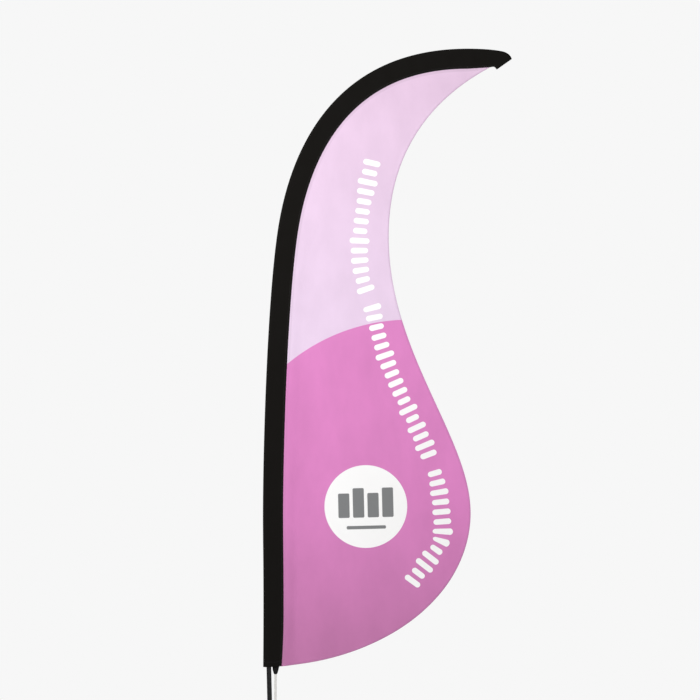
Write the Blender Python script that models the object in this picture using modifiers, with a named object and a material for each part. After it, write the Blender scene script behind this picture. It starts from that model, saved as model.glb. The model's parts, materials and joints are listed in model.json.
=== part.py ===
"""Teardrop flag on a folding cross base.

A curved, jointed pole runs in the black sleeve of a printed flag and stands on a spindle that turns
on a ball bearing.  The spindle stands on a hub with four folding legs.

Metres, +Z up.  The origin is on the floor, on the axis of the spindle and of the straight lower
part of the pole.  The flag lies in the plane Y = 0 and flies towards +X; its front faces -Y.
"""

import math

import bmesh
import bpy
from mathutils import Matrix, Vector, geometry

# ---------------------------------------------------------------------------------------------
# Driving dimensions
# ---------------------------------------------------------------------------------------------

GAP = 0.0003  # between pieces that rest on or in each other
ROUND_STEPS = 20  # facets round a turned piece
HOLE_STEPS = 12  # facets round a bolt hole
SHARP_ANGLE = math.radians(35.0)  # edges sharper than this show
WELD = 0.00001  # points closer than this are one
DOME_TOP = 0.6  # flat top of a domed head, as a share of its radius
DOME_SIDE = 0.4  # upright side of a domed head, as a share of its height
POLE_BEVEL = 4  # a curve's bevel resolution: 12 facets round a pole section
FERRULE_BEVEL = 8  # 20 facets, so that a ferrule clears what is in it

# Centreline of the pole: x, z, heading from the vertical (degrees), handle behind, handle ahead.
POLE_KNOTS = (
    (0.000, 0.000, 0.0, 0.000, 0.350),
    (0.000, 1.050, 0.0, 0.350, 0.231),
    (0.080, 2.179, 10.6, 0.262, 0.349),
    (0.880, 2.776, 97.9, 0.530, 0.000),
)
POLE_RESOLUTION = 160  # points a stretch, for measuring along the centreline

# Lengths along the pole are measured from the floor, up the centreline.
POLE_BASE_RADIUS = 0.0085
POLE_JOINTS = (0.87, 1.69, 2.50)
POLE_JOINT_RADII = (0.0085, 0.0064, 0.0055)
POLE_END = 3.298
POLE_END_RADIUS = 0.0035
POLE_WALL = 0.0016
POLE_STATIONS = (0.082, 0.040, 0.040)  # spacing of the points along each bent section
FERRULE_HALF_LENGTH = 0.035
FERRULE_WALL = 0.0007
TIP_CAP_LENGTH = 0.013
TIP_CAP_SPIGOT = 0.015
TIP_CAP_ANGLES = (0.0, 25.0, 50.0, 75.0, 90.0)  # of the points on its round end

# Sleeve: a flat pocket whose round nose holds the pole.
SLEEVE_MOUTH = 0.616
SLEEVE_END = 3.270
SLEEVE_WIDTH = 0.0715  # outer edge to panel seam
SLEEVE_CLOTH = 0.0012
SLEEVE_NOSE = 0.0100  # outer edge to pole axis at SLEEVE_NOSE_FROM
SLEEVE_NOSE_FROM = 1.0
SLEEVE_NOSE_TAPER = 0.00114  # metres a metre
SLEEVE_FLARE = 0.0103  # how far the mouth stands off the pole beyond the nose
SLEEVE_FLARE_TOP = 1.10
SLEEVE_FLARE_POWER = 1.5
SLEEVE_NARROWING = 0.008  # the seam closes in on the pole just before the tip
SLEEVE_NARROWING_FROM = 3.18
SLEEVE_NARROWING_POWER = 1.5
SLEEVE_CLEARANCE = 0.0005  # pole to the inside of the cloth
SLEEVE_SEAM_HALF = 0.0003  # half the space left inside the pocket at the seam
SLEEVE_STEPS = 56
EDGE_OVERRUN = 0.010  # the seam and the free edge are run on this far to find their corners
SLEEVE_NOSE_POINTS = 4  # along half of the round nose

# Closed end of the sleeve: outer edge (s, u), seam edge (s, u) and half thickness, where s runs
# along the pole and u is the distance from its axis towards the panel.
TIP_POCKET = (
    ((3.2703, -0.0073), (3.2703, 0.0558), 0.0066),
    ((3.2950, -0.0063), (3.2850, 0.0520), 0.0062),
    ((3.3180, -0.0050), (3.2920, 0.0556), 0.0058),
    ((3.3335, 0.0005), (3.2962, 0.0596), 0.0040),
    ((3.3436, 0.0118), (3.2987, 0.0609), 0.0016),
)

# Free edge of the flag, from the tip corner to the bottom corner: x, z, heading of travel
# (degrees from +X, counter-clockwise), handle behind, handle ahead.
FREE_EDGE_KNOTS = (
    (0.8377, 2.7266, 212.0, 0.000, 0.060),
    (0.4620, 2.1124, 270.0, 0.445, 0.402),
    (0.7297, 1.1538, 270.0, 0.262, 0.288),
    (0.0504, 0.6164, 183.3, 0.389, 0.000),
)
FREE_EDGE_RESOLUTION = 22
HEM_WIDTH = 0.008
HEM_THICKNESS = 0.0020
PANEL_THICKNESS = 0.0012

# Tensioner below the sleeve.
TAB_OUTLINE = ((0.0125, 0.6280), (0.0125, 0.6060), (0.0180, 0.5890), (0.0285, 0.5890), (0.0350, 0.6280))
TAB_THICKNESS = 0.0028
ELASTIC_WIDTH = 0.009
ELASTIC_THICKNESS = 0.0016
ELASTIC_TOP_X = 0.0232
PEG_X = 0.0190
PEG_Z = 0.4330
PEG_RADIUS = 0.0020
PEG_HEAD_RADIUS = 0.0038
PEG_HEAD_LENGTH = 0.0022
PEG_HEAD_CHAMFER = 0.0008
PEG_HOLE_REACH = 0.010  # the drill goes this far each way from the slot's middle
HOOK_RADIUS = 0.0052
HOOK_THICKNESS = 0.0040
HOOK_TOP = 0.4560
HOOK_STEPS = 10
COLLAR_HEIGHT = 0.0160
COLLAR_RADIUS = 0.0120
COLLAR_EAR_END = 0.0245
COLLAR_EAR_THICKNESS = 0.0030

# Hub of the cross base.
HUB_SIZE = 0.120
HUB_CORNER = 0.014
HUB_CORNER_STEPS = 4
HUB_DRILL = (-0.010, 0.050)  # lowest and highest point of the holes through both plates
PAD_RADIUS = 0.036
PAD_HEIGHT = 0.0080
PAD_CHAMFER = 0.001
PAD_POCKET_CLEARANCE = 0.0015  # round the spindle nut
PAD_POCKET_DROP = 0.0010  # below it
PLATE_THICKNESS = 0.0030
PIVOT_OFFSET = 0.042  # of each leg pivot from the spindle axis, in x and in y
PIVOT_RADIUS = 0.0040
NUT_RADIUS = 0.0075
NUT_HEIGHT = 0.0045
BOLT_HEAD_RADIUS = 0.0070
BOLT_HEAD_HEIGHT = 0.0040

# Folding legs.
LEG_LENGTH = 0.355  # pivot to outer end
LEG_INNER = 0.015  # pivot to inner end
LEG_WIDTH = 0.030
LEG_HEIGHT = 0.015
LEG_WALL = 0.0015
LEG_CORNER = 0.0020
LEG_PLUG_DEPTH = 0.014
LEG_PLUG_CAP = 0.003
LEG_PLUG_CHAMFER = 0.0012
FOOT_RADIUS = 0.013
FOOT_SHOULDER = (0.002, 0.004)  # width and height of the slope at its top
FOOT_CHAMFER = 0.001
FOOT_STEPS = 16
FOOT_INSET = 0.018  # foot centre to the leg's outer end

# Spindle, bearing and rotor.
POST_STUD_RADIUS = 0.0060
POST_CLEARANCE = 0.0006
SHOULDER_RADIUS = 0.0150
SHOULDER_HEIGHT = 0.0060
NECK_RADIUS = 0.0082
AXLE_RADIUS = 0.0040
AXLE_IN_CAP = 0.0036
SPINDLE_NUT_RADIUS = 0.0105
RACE_INNER = 0.0086
RACE_OUTER = 0.0150
RACE_HEIGHT = 0.0025
BALL_RADIUS = 0.0020
BALL_CIRCLE = 0.01175
BALL_COUNT = 8
CAGE_HEIGHT = 0.0014
CAGE_INNER = 0.0088
CAGE_OUTER = 0.0148
CAGE_HOLE = 0.0023
CAGE_HOLE_STEPS = 10
CAGE_DRILL = 0.004  # each way from the cage's middle
CAGE_STEPS = 24
BALL_STEPS = (8, 6)  # round the ball and from pole to pole
ROTOR_RADIUS = 0.0065
ROTOR_BORE = 0.0053
ROTOR_LENGTH = 0.199  # above the flange
ROTOR_FLANGE = 0.0050
ROTOR_TIP_CHAMFER = (0.0006, 0.0015)
FLANGE_CHAMFER = 0.0015
SKIRT_RADIUS = 0.0185
SKIRT_WALL = 0.0015
SKIRT_DROP = 0.0135
BUSH_INNER = 0.0043
BUSH_OUTER = 0.0050
BUSH_LENGTH = 0.020
BUSH_INSET = 0.0005
RETAINER_RADIUS = 0.0060
RETAINER_HEIGHT = 0.0060
RETAINER_CHAMFER = 0.002
END_RING_LENGTH = 0.030
END_RING_WALL = 0.0014
END_RING_CHAMFER = 0.0006

# Heights that follow, from the floor up.
BOTTOM_PLATE_Z = PAD_HEIGHT + GAP
LEG_Z = BOTTOM_PLATE_Z + PLATE_THICKNESS + GAP
TOP_PLATE_Z = LEG_Z + LEG_HEIGHT + GAP
HUB_TOP_Z = TOP_PLATE_Z + PLATE_THICKNESS
SHOULDER_Z = HUB_TOP_Z + GAP
LOWER_RACE_Z = SHOULDER_Z + SHOULDER_HEIGHT + GAP
BALL_Z = LOWER_RACE_Z + RACE_HEIGHT + GAP + BALL_RADIUS
UPPER_RACE_Z = BALL_Z + BALL_RADIUS + GAP
FLANGE_Z = UPPER_RACE_Z + RACE_HEIGHT + GAP
FLANGE_TOP_Z = FLANGE_Z + ROTOR_FLANGE
ROTOR_TOP_Z = FLANGE_TOP_Z + ROTOR_LENGTH
POLE_FOOT_Z = FLANGE_TOP_Z + GAP
NUT_Z = BOTTOM_PLATE_Z - GAP - NUT_HEIGHT

# ---------------------------------------------------------------------------------------------
# Scene, materials and shared builders
# ---------------------------------------------------------------------------------------------


def clear_scene():
    for obj in list(bpy.data.objects):
        bpy.data.objects.remove(obj, do_unlink=True)


def new_collection(name):
    collection = bpy.data.collections.new(name)
    bpy.context.scene.collection.children.link(collection)
    return collection


def material(name, colour, roughness, metallic=0.0):
    mat = bpy.data.materials.new(name)
    mat.use_nodes = True
    shader = mat.node_tree.nodes["Principled BSDF"]
    shader.inputs["Base Color"].default_value = (*colour, 1.0)
    shader.inputs["Roughness"].default_value = roughness
    shader.inputs["Metallic"].default_value = metallic
    mat.diffuse_color = (*colour, 1.0)
    return mat


def add_object(name, mesh, mat, parent=None, location=(0.0, 0.0, 0.0)):
    """Place a mesh in the parts collection, shaded smooth except at its sharp edges."""
    obj = bpy.data.objects.new(name, mesh)
    parts.objects.link(obj)
    obj.parent = parent
    obj.location = location
    mesh.materials.clear()
    mesh.materials.append(mat)
    mesh.shade_smooth()
    mesh.set_sharp_from_angle(angle=SHARP_ANGLE)
    return obj


def add_empty(name, location=(0.0, 0.0, 0.0), turn=0.0, parent=None):
    empty = bpy.data.objects.new(name, None)
    parts.objects.link(empty)
    empty.location = location
    empty.rotation_euler = (0.0, 0.0, turn)
    empty.parent = parent
    return empty


def add_cutter(name, mesh):
    obj = bpy.data.objects.new(name, mesh)
    cutters.objects.link(obj)
    obj.hide_render = True
    obj.display_type = "WIRE"
    return obj


def cut(obj, cutter):
    boolean = obj.modifiers.new("cut_" + cutter.name, "BOOLEAN")
    boolean.operation = "DIFFERENCE"
    boolean.solver = "EXACT"
    boolean.object = cutter


def mesh_from_bmesh(name, bm):
    bmesh.ops.recalc_face_normals(bm, faces=bm.faces)
    mesh = bpy.data.meshes.new(name)
    bm.to_mesh(mesh)
    bm.free()
    return mesh


def mesh_from_curve(name, curve, matrix):
    """Turn a curve into a welded mesh, moved by the matrix."""
    holder = bpy.data.objects.new(name, curve)
    bpy.context.scene.collection.objects.link(holder)
    evaluated = holder.evaluated_get(bpy.context.evaluated_depsgraph_get())
    mesh = bpy.data.meshes.new_from_object(evaluated)
    bpy.data.objects.remove(holder, do_unlink=True)
    bpy.data.curves.remove(curve)
    bm = bmesh.new()
    bm.from_mesh(mesh)
    bpy.data.meshes.remove(mesh)
    bmesh.ops.remove_doubles(bm, verts=bm.verts, dist=WELD)
    bmesh.ops.transform(bm, matrix=matrix, verts=bm.verts)
    return mesh_from_bmesh(name, bm)


def add_spline(curve, points, cyclic):
    spline = curve.splines.new("POLY")
    spline.points.add(len(points) - 1)
    for target, point in zip(spline.points, points):
        target.co = (*point, *(0.0,) * (3 - len(point)), 1.0)
    spline.use_cyclic_u = cyclic
    return spline


def flat_mesh(name, outlines, thickness, matrix):
    """Flat outlines, the first one outside and the others holes, as a plate of a thickness."""
    curve = bpy.data.curves.new(name, "CURVE")
    curve.dimensions = "2D"
    curve.fill_mode = "BOTH"
    curve.extrude = thickness / 2
    for outline in outlines:
        add_spline(curve, outline, cyclic=True)
    return mesh_from_curve(name, curve, matrix)


# Turns a flat outline drawn in x and y into one standing in x and z.
UPRIGHT = Matrix.Rotation(math.radians(90.0), 4, "X")


def circle_points(radius, count, start=0.0, end=2 * math.pi, closed=True):
    steps = count if closed else count - 1
    angles = [start + (end - start) * i / steps for i in range(count)]
    return [(radius * math.cos(angle), radius * math.sin(angle)) for angle in angles]


def turned(name, profile, mat, closed, parent=None, location=(0.0, 0.0, 0.0), steps=ROUND_STEPS):
    """Turn a profile of (radius, z) round Z.  It runs down its outer side."""
    bm = bmesh.new()
    points = [bm.verts.new((r, 0.0, z)) for r, z in profile]
    for first, second in zip(points, points[1:]):
        bm.edges.new((first, second))
    if closed:
        bm.edges.new((points[-1], points[0]))
    mesh = bpy.data.meshes.new(name)
    bm.to_mesh(mesh)
    bm.free()
    obj = add_object(name, mesh, mat, parent, location)
    screw = obj.modifiers.new("turn", "SCREW")
    screw.axis = "Z"
    screw.angle = 2 * math.pi
    screw.steps = steps
    screw.render_steps = steps
    screw.use_merge_vertices = True
    screw.merge_threshold = WELD
    screw.use_smooth_shade = True
    return obj


def ring_profile(inner, outer, low, high, chamfer=0.0):
    """Section of a ring, with a chamfer on its two outer edges."""
    if chamfer == 0.0:
        return [(outer, high), (outer, low), (inner, low), (inner, high)]
    return [
        (outer - chamfer, high),
        (outer, high - chamfer),
        (outer, low + chamfer),
        (outer - chamfer, low),
        (inner, low),
        (inner, high),
    ]


def cylinders(name, places, radius, low, high, steps):
    """Upright cylinders at some (x, y) places, in one mesh."""
    bm = bmesh.new()
    for x, y in places:
        bmesh.ops.create_cone(
            bm,
            cap_ends=True,
            segments=steps,
            radius1=radius,
            radius2=radius,
            depth=high - low,
            matrix=Matrix.Translation((x, y, (low + high) / 2)),
        )
    return mesh_from_bmesh(name, bm)


def round_edges(bm, edges, width, segments):
    bmesh.ops.bevel(bm, geom=edges, offset=width, segments=segments, profile=0.5, affect="EDGES")


def loft(sections, cap_last):
    """Skin over closed sections with equal numbers of points, capped at the last one or open."""
    bm = bmesh.new()
    rings = [[bm.verts.new(point) for point in section] for section in sections]
    for lower, upper in zip(rings, rings[1:]):
        for i in range(len(lower)):
            j = (i + 1) % len(lower)
            bm.faces.new((lower[i], lower[j], upper[j], upper[i]))
    if cap_last:
        bm.faces.new(rings[-1])
    return bm


# ---------------------------------------------------------------------------------------------
# The pole's centreline and the sleeve round it
# ---------------------------------------------------------------------------------------------


def bezier_chain(knots, heading, resolution):
    """Points of a chain of Bezier curves through knots given with headings and handles."""
    points = []
    for (x0, z0, angle0, _, ahead), (x1, z1, angle1, behind, _) in zip(knots, knots[1:]):
        start = Vector((x0, z0))
        end = Vector((x1, z1))
        stretch = geometry.interpolate_bezier(
            start,
            start + heading(angle0) * ahead,
            end - heading(angle1) * behind,
            end,
            resolution,
        )
        points.extend(stretch if not points else stretch[1:])
    return points


def pole_heading(angle):
    return Vector((math.sin(math.radians(angle)), math.cos(math.radians(angle))))


def edge_heading(angle):
    return Vector((math.cos(math.radians(angle)), math.sin(math.radians(angle))))


CENTRELINE = bezier_chain(POLE_KNOTS, pole_heading, POLE_RESOLUTION)
LENGTHS = [0.0]
for before, after in zip(CENTRELINE, CENTRELINE[1:]):
    LENGTHS.append(LENGTHS[-1] + (after - before).length)


def along_pole(s):
    """Point on the centreline at a length s from the floor, and the direction of the pole."""
    i = 1
    while i < len(LENGTHS) - 1 and LENGTHS[i] < s:
        i += 1
    before = CENTRELINE[i - 1]
    direction = (CENTRELINE[i] - before).normalized()
    return before + direction * (s - LENGTHS[i - 1]), direction


def beside_pole(s, u):
    """Point at length s and at a distance u from the axis, towards the panel."""
    point, direction = along_pole(s)
    return point + Vector((direction.y, -direction.x)) * u


def pole_radius(s):
    lengths = (0.0, *POLE_JOINTS, POLE_END)
    radii = (POLE_BASE_RADIUS, *POLE_JOINT_RADII, POLE_END_RADIUS)
    for i in range(1, len(lengths)):
        if s <= lengths[i] or i == len(lengths) - 1:
            share = (s - lengths[i - 1]) / (lengths[i] - lengths[i - 1])
            return radii[i - 1] + (radii[i] - radii[i - 1]) * min(share, 1.0)
    return POLE_END_RADIUS


def sleeve_nose(s):
    """Distance from the pole's axis to the sleeve's outer edge."""
    nose = SLEEVE_NOSE - SLEEVE_NOSE_TAPER * max(s - SLEEVE_NOSE_FROM, 0.0)
    open_part = (SLEEVE_FLARE_TOP - s) / (SLEEVE_FLARE_TOP - SLEEVE_MOUTH)
    return nose + SLEEVE_FLARE * max(open_part, 0.0) ** SLEEVE_FLARE_POWER


def sleeve_seam(s):
    """Distance from the pole's axis to the seam between sleeve and panel."""
    share = (s - SLEEVE_NARROWING_FROM) / (SLEEVE_END - SLEEVE_NARROWING_FROM)
    return SLEEVE_WIDTH - sleeve_nose(s) - SLEEVE_NARROWING * max(share, 0.0) ** SLEEVE_NARROWING_POWER


def pocket_section(outer_point, seam_point, nose, half_thickness):
    """Inside of the pocket: a half-ellipse round the pole, then straight sides to the seam.

    nose is the distance from the outer edge to the pole's axis, along the section.
    """
    across = (seam_point - outer_point).normalized()
    width = (seam_point - outer_point).length
    shape = []
    for i in range(SLEEVE_NOSE_POINTS + 1):
        angle = math.pi / 2 * i / SLEEVE_NOSE_POINTS
        shape.append((nose * (1 - math.cos(angle)), half_thickness * math.sin(angle)))
    shape.append((width, SLEEVE_SEAM_HALF))
    shape += [(distance, -side) for distance, side in reversed(shape) if side > 0.0]
    section = []
    for distance, side in shape:
        place = outer_point + across * distance
        section.append(Vector((place.x, side, place.y)))
    return section


def sleeve_section(s):
    nose = sleeve_nose(s)
    return pocket_section(
        beside_pole(s, -nose + SLEEVE_CLOTH),
        beside_pole(s, sleeve_seam(s) - SLEEVE_CLOTH),
        nose - SLEEVE_CLOTH,
        pole_radius(s) + SLEEVE_CLEARANCE + FERRULE_WALL + GAP,
    )


def tip_section(outer_edge, seam_edge, half_thickness):
    outer_point = beside_pole(*outer_edge)
    seam_point = beside_pole(*seam_edge)
    inwards = (seam_point - outer_point).normalized() * SLEEVE_CLOTH
    return pocket_section(
        outer_point + inwards,
        seam_point - inwards,
        sleeve_nose(SLEEVE_END) - SLEEVE_CLOTH,
        half_thickness - SLEEVE_CLOTH,
    )


def stations_between(start, end, steps):
    return [start + (end - start) * i / steps for i in range(steps + 1)]


SLEEVE_STATIONS = stations_between(SLEEVE_MOUTH, SLEEVE_END, SLEEVE_STEPS)
SEAM_LINE = [beside_pole(s, sleeve_seam(s) + GAP) for s in SLEEVE_STATIONS]
SEAM_LINE.insert(0, SEAM_LINE[0] + (SEAM_LINE[0] - SEAM_LINE[1]).normalized() * EDGE_OVERRUN)
SEAM_LINE.append(SEAM_LINE[-1] + (SEAM_LINE[-1] - SEAM_LINE[-2]).normalized() * EDGE_OVERRUN)


def add_cloth_shell(name, bm, mat, parent):
    """Thicken a pocket's inside surface outwards by the thickness of the cloth."""
    obj = add_object(name, mesh_from_bmesh(name, bm), mat, parent)
    solidify = obj.modifiers.new("cloth", "SOLIDIFY")
    solidify.thickness = SLEEVE_CLOTH
    solidify.offset = 1.0
    solidify.use_even_offset = True
    return obj


# ---------------------------------------------------------------------------------------------
# Cross base
# ---------------------------------------------------------------------------------------------


def add_hub(base):
    corners = [(sx * PIVOT_OFFSET, sy * PIVOT_OFFSET) for sx, sy in LEG_SIDES]
    bolt_holes = add_cutter(
        "bolt_holes",
        cylinders("bolt_holes", corners, PIVOT_RADIUS + GAP, *HUB_DRILL, HOLE_STEPS),
    )
    post_hole = add_cutter(
        "post_hole",
        cylinders("post_hole", [(0.0, 0.0)], POST_STUD_RADIUS + POST_CLEARANCE, *HUB_DRILL, HOLE_STEPS),
    )
    for name, low in (("hub_bottom_plate", BOTTOM_PLATE_Z), ("hub_top_plate", TOP_PLATE_Z)):
        bm = bmesh.new()
        bmesh.ops.create_cube(
            bm,
            size=1.0,
            matrix=Matrix.Translation((0.0, 0.0, low + PLATE_THICKNESS / 2))
            @ Matrix.Diagonal((HUB_SIZE, HUB_SIZE, PLATE_THICKNESS, 1.0)),
        )
        upright = [edge for edge in bm.edges if abs(edge.verts[0].co.z - edge.verts[1].co.z) > GAP]
        round_edges(bm, upright, HUB_CORNER, HUB_CORNER_STEPS)
        plate = add_object(name, mesh_from_bmesh(name, bm), STEEL_PAINT, base)
        cut(plate, bolt_holes)
        cut(plate, post_hole)

    pocket_radius = SPINDLE_NUT_RADIUS + PAD_POCKET_CLEARANCE
    pocket_floor = NUT_Z - PAD_POCKET_DROP
    turned(
        "hub_pad",
        [
            (pocket_radius, PAD_HEIGHT),
            (PAD_RADIUS - PAD_CHAMFER, PAD_HEIGHT),
            (PAD_RADIUS, PAD_HEIGHT - PAD_CHAMFER),
            (PAD_RADIUS, PAD_CHAMFER),
            (PAD_RADIUS - PAD_CHAMFER, 0.0),
            (0.0, 0.0),
            (0.0, pocket_floor),
            (pocket_radius, pocket_floor),
        ],
        RUBBER,
        closed=True,
        parent=base,
    )
    return bolt_holes


def hexagon_nut(name, radius, bore, height):
    """Nut standing on z = 0."""
    outlines = [circle_points(radius, 6), circle_points(bore, HOLE_STEPS)]
    return flat_mesh(name, outlines, height, Matrix.Translation((0.0, 0.0, height / 2)))


def add_pivots(base):
    head_low = HUB_TOP_Z + GAP
    nut_mesh = hexagon_nut("leg_pivot_nut", NUT_RADIUS, PIVOT_RADIUS + GAP, NUT_HEIGHT)
    for number, (side_x, side_y) in enumerate(LEG_SIDES, start=1):
        place = (side_x * PIVOT_OFFSET, side_y * PIVOT_OFFSET, 0.0)
        turned(
            f"leg_pivot_bolt_{number}",
            [
                (0.0, head_low + BOLT_HEAD_HEIGHT),
                (BOLT_HEAD_RADIUS * DOME_TOP, head_low + BOLT_HEAD_HEIGHT),
                (BOLT_HEAD_RADIUS, head_low + BOLT_HEAD_HEIGHT * DOME_SIDE),
                (BOLT_HEAD_RADIUS, head_low),
                (PIVOT_RADIUS, head_low),
                (PIVOT_RADIUS, NUT_Z + GAP),
                (0.0, NUT_Z + GAP),
            ],
            ZINC,
            closed=False,
            parent=base,
            location=place,
            steps=HOLE_STEPS,
        )
        nut = add_object(f"leg_pivot_nut_{number}", nut_mesh, ZINC, base)
        nut.location = (place[0], place[1], NUT_Z)


def leg_tube_mesh(name):
    """Rectangular tube along X from behind the pivot to the outer end, as an open skin."""
    length = LEG_LENGTH + LEG_INNER
    centre = Vector(((LEG_LENGTH - LEG_INNER) / 2, 0.0, LEG_Z + LEG_HEIGHT / 2))
    bm = bmesh.new()
    bmesh.ops.create_cube(
        bm,
        size=1.0,
        matrix=Matrix.Translation(centre) @ Matrix.Diagonal((length, LEG_WIDTH, LEG_HEIGHT, 1.0)),
    )
    ends = [face for face in bm.faces if abs(face.normal.x) > 0.5]
    bmesh.ops.delete(bm, geom=ends, context="FACES_ONLY")
    long_edges = [edge for edge in bm.edges if abs(edge.verts[0].co.x - edge.verts[1].co.x) > LEG_INNER]
    round_edges(bm, long_edges, LEG_CORNER, 2)
    return mesh_from_bmesh(name, bm)


def leg_plug_mesh(name):
    """End plug: a cap as large as the tube and a body that fits in it, as a loft along X."""
    body_half = (LEG_WIDTH / 2 - LEG_WALL - GAP, LEG_HEIGHT / 2 - LEG_WALL - GAP)
    cap_half = (LEG_WIDTH / 2, LEG_HEIGHT / 2)
    cap_low = LEG_LENGTH + GAP
    stations = (
        (cap_low - LEG_PLUG_DEPTH, body_half),
        (cap_low, body_half),
        (cap_low, cap_half),
        (cap_low + LEG_PLUG_CAP, cap_half),
    )
    middle = LEG_Z + LEG_HEIGHT / 2
    sections = []
    for x, (half_y, half_z) in stations:
        corners = ((-half_y, -half_z), (half_y, -half_z), (half_y, half_z), (-half_y, half_z))
        sections.append([Vector((x, y, middle + z)) for y, z in corners])
    bm = loft(sections, cap_last=True)
    open_edges = [edge for edge in bm.edges if edge.is_boundary]
    bmesh.ops.contextual_create(bm, geom=open_edges)
    rim = [
        edge
        for edge in bm.edges
        if all(abs(vert.co.x - cap_low - LEG_PLUG_CAP) < GAP / 2 for vert in edge.verts)
    ]
    round_edges(bm, rim, LEG_PLUG_CHAMFER, 2)
    return mesh_from_bmesh(name, bm)


def add_legs(bolt_holes):
    for number, (side_x, side_y) in enumerate(LEG_SIDES, start=1):
        pivot = add_empty(
            f"leg_pivot_axis_{number}",
            location=(side_x * PIVOT_OFFSET, side_y * PIVOT_OFFSET, 0.0),
            turn=math.atan2(side_y, side_x),
        )
        tube = add_object(f"leg_tube_{number}", leg_tube_mesh(f"leg_tube_{number}"), STEEL_PAINT, pivot)
        solidify = tube.modifiers.new("wall", "SOLIDIFY")
        solidify.thickness = LEG_WALL
        solidify.offset = -1.0
        solidify.use_even_offset = True
        cut(tube, bolt_holes)
        add_object(f"leg_plug_{number}", leg_plug_mesh(f"leg_plug_{number}"), PLASTIC, pivot)
        top = LEG_Z - GAP
        turned(
            f"leg_foot_{number}",
            [
                (0.0, top),
                (FOOT_RADIUS - FOOT_SHOULDER[0], top),
                (FOOT_RADIUS, top - FOOT_SHOULDER[1]),
                (FOOT_RADIUS, FOOT_CHAMFER),
                (FOOT_RADIUS - FOOT_CHAMFER, 0.0),
                (0.0, 0.0),
            ],
            RUBBER,
            closed=False,
            parent=pivot,
            location=(LEG_LENGTH - FOOT_INSET, 0.0, 0.0),
            steps=FOOT_STEPS,
        )


# ---------------------------------------------------------------------------------------------
# Spindle, bearing and rotor
# ---------------------------------------------------------------------------------------------


def add_spindle(base):
    neck_top = FLANGE_Z - GAP
    axle_top = ROTOR_TOP_Z + GAP + AXLE_IN_CAP
    turned(
        "spindle_post",
        [
            (AXLE_RADIUS + GAP, neck_top),
            (NECK_RADIUS, neck_top),
            (NECK_RADIUS, SHOULDER_Z + SHOULDER_HEIGHT),
            (SHOULDER_RADIUS, SHOULDER_Z + SHOULDER_HEIGHT),
            (SHOULDER_RADIUS, SHOULDER_Z),
            (POST_STUD_RADIUS, SHOULDER_Z),
            (POST_STUD_RADIUS, NUT_Z),
            (0.0, NUT_Z),
            (0.0, SHOULDER_Z),
            (AXLE_RADIUS + GAP, SHOULDER_Z),
        ],
        ZINC,
        closed=True,
        parent=base,
    )
    turned(
        "spindle_axle",
        [
            (0.0, axle_top),
            (AXLE_RADIUS, axle_top),
            (AXLE_RADIUS, SHOULDER_Z + GAP),
            (0.0, SHOULDER_Z + GAP),
        ],
        BRIGHT_STEEL,
        closed=False,
        parent=base,
    )
    nut_mesh = hexagon_nut("spindle_nut", SPINDLE_NUT_RADIUS, POST_STUD_RADIUS + GAP, NUT_HEIGHT)
    nut = add_object("spindle_nut", nut_mesh, ZINC, base)
    nut.location = (0.0, 0.0, NUT_Z)
    turned(
        "bearing_lower_race",
        ring_profile(RACE_INNER, RACE_OUTER, LOWER_RACE_Z, LOWER_RACE_Z + RACE_HEIGHT),
        BRIGHT_STEEL,
        closed=True,
        parent=base,
    )
    cap_low = ROTOR_TOP_Z + GAP
    cap_high = cap_low + RETAINER_HEIGHT
    turned(
        "spindle_retainer_cap",
        [
            (0.0, cap_high),
            (RETAINER_RADIUS * DOME_TOP, cap_high),
            (RETAINER_RADIUS, cap_high - RETAINER_CHAMFER),
            (RETAINER_RADIUS, cap_low),
            (AXLE_RADIUS + GAP, cap_low),
            (AXLE_RADIUS + GAP, axle_top + GAP),
            (0.0, axle_top + GAP),
        ],
        PLASTIC,
        closed=False,
        parent=base,
    )


def add_cage():
    axis = add_empty("cage_axis", location=(0.0, 0.0, BALL_Z))
    places = circle_points(BALL_CIRCLE, BALL_COUNT)
    holes = add_cutter(
        "cage_holes",
        cylinders("cage_holes", places, CAGE_HOLE, BALL_Z - CAGE_DRILL, BALL_Z + CAGE_DRILL, CAGE_HOLE_STEPS),
    )
    cage = turned(
        "bearing_cage",
        ring_profile(CAGE_INNER, CAGE_OUTER, -CAGE_HEIGHT / 2, CAGE_HEIGHT / 2),
        BRASS,
        closed=True,
        parent=axis,
        steps=CAGE_STEPS,
    )
    cut(cage, holes)
    bm = bmesh.new()
    around, upwards = BALL_STEPS
    bmesh.ops.create_uvsphere(bm, u_segments=around, v_segments=upwards, radius=BALL_RADIUS)
    ball_mesh = mesh_from_bmesh("bearing_ball", bm)
    for number, (x, y) in enumerate(places, start=1):
        add_object(f"bearing_ball_{number}", ball_mesh, BRIGHT_STEEL, axis, (x, y, 0.0))


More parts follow.
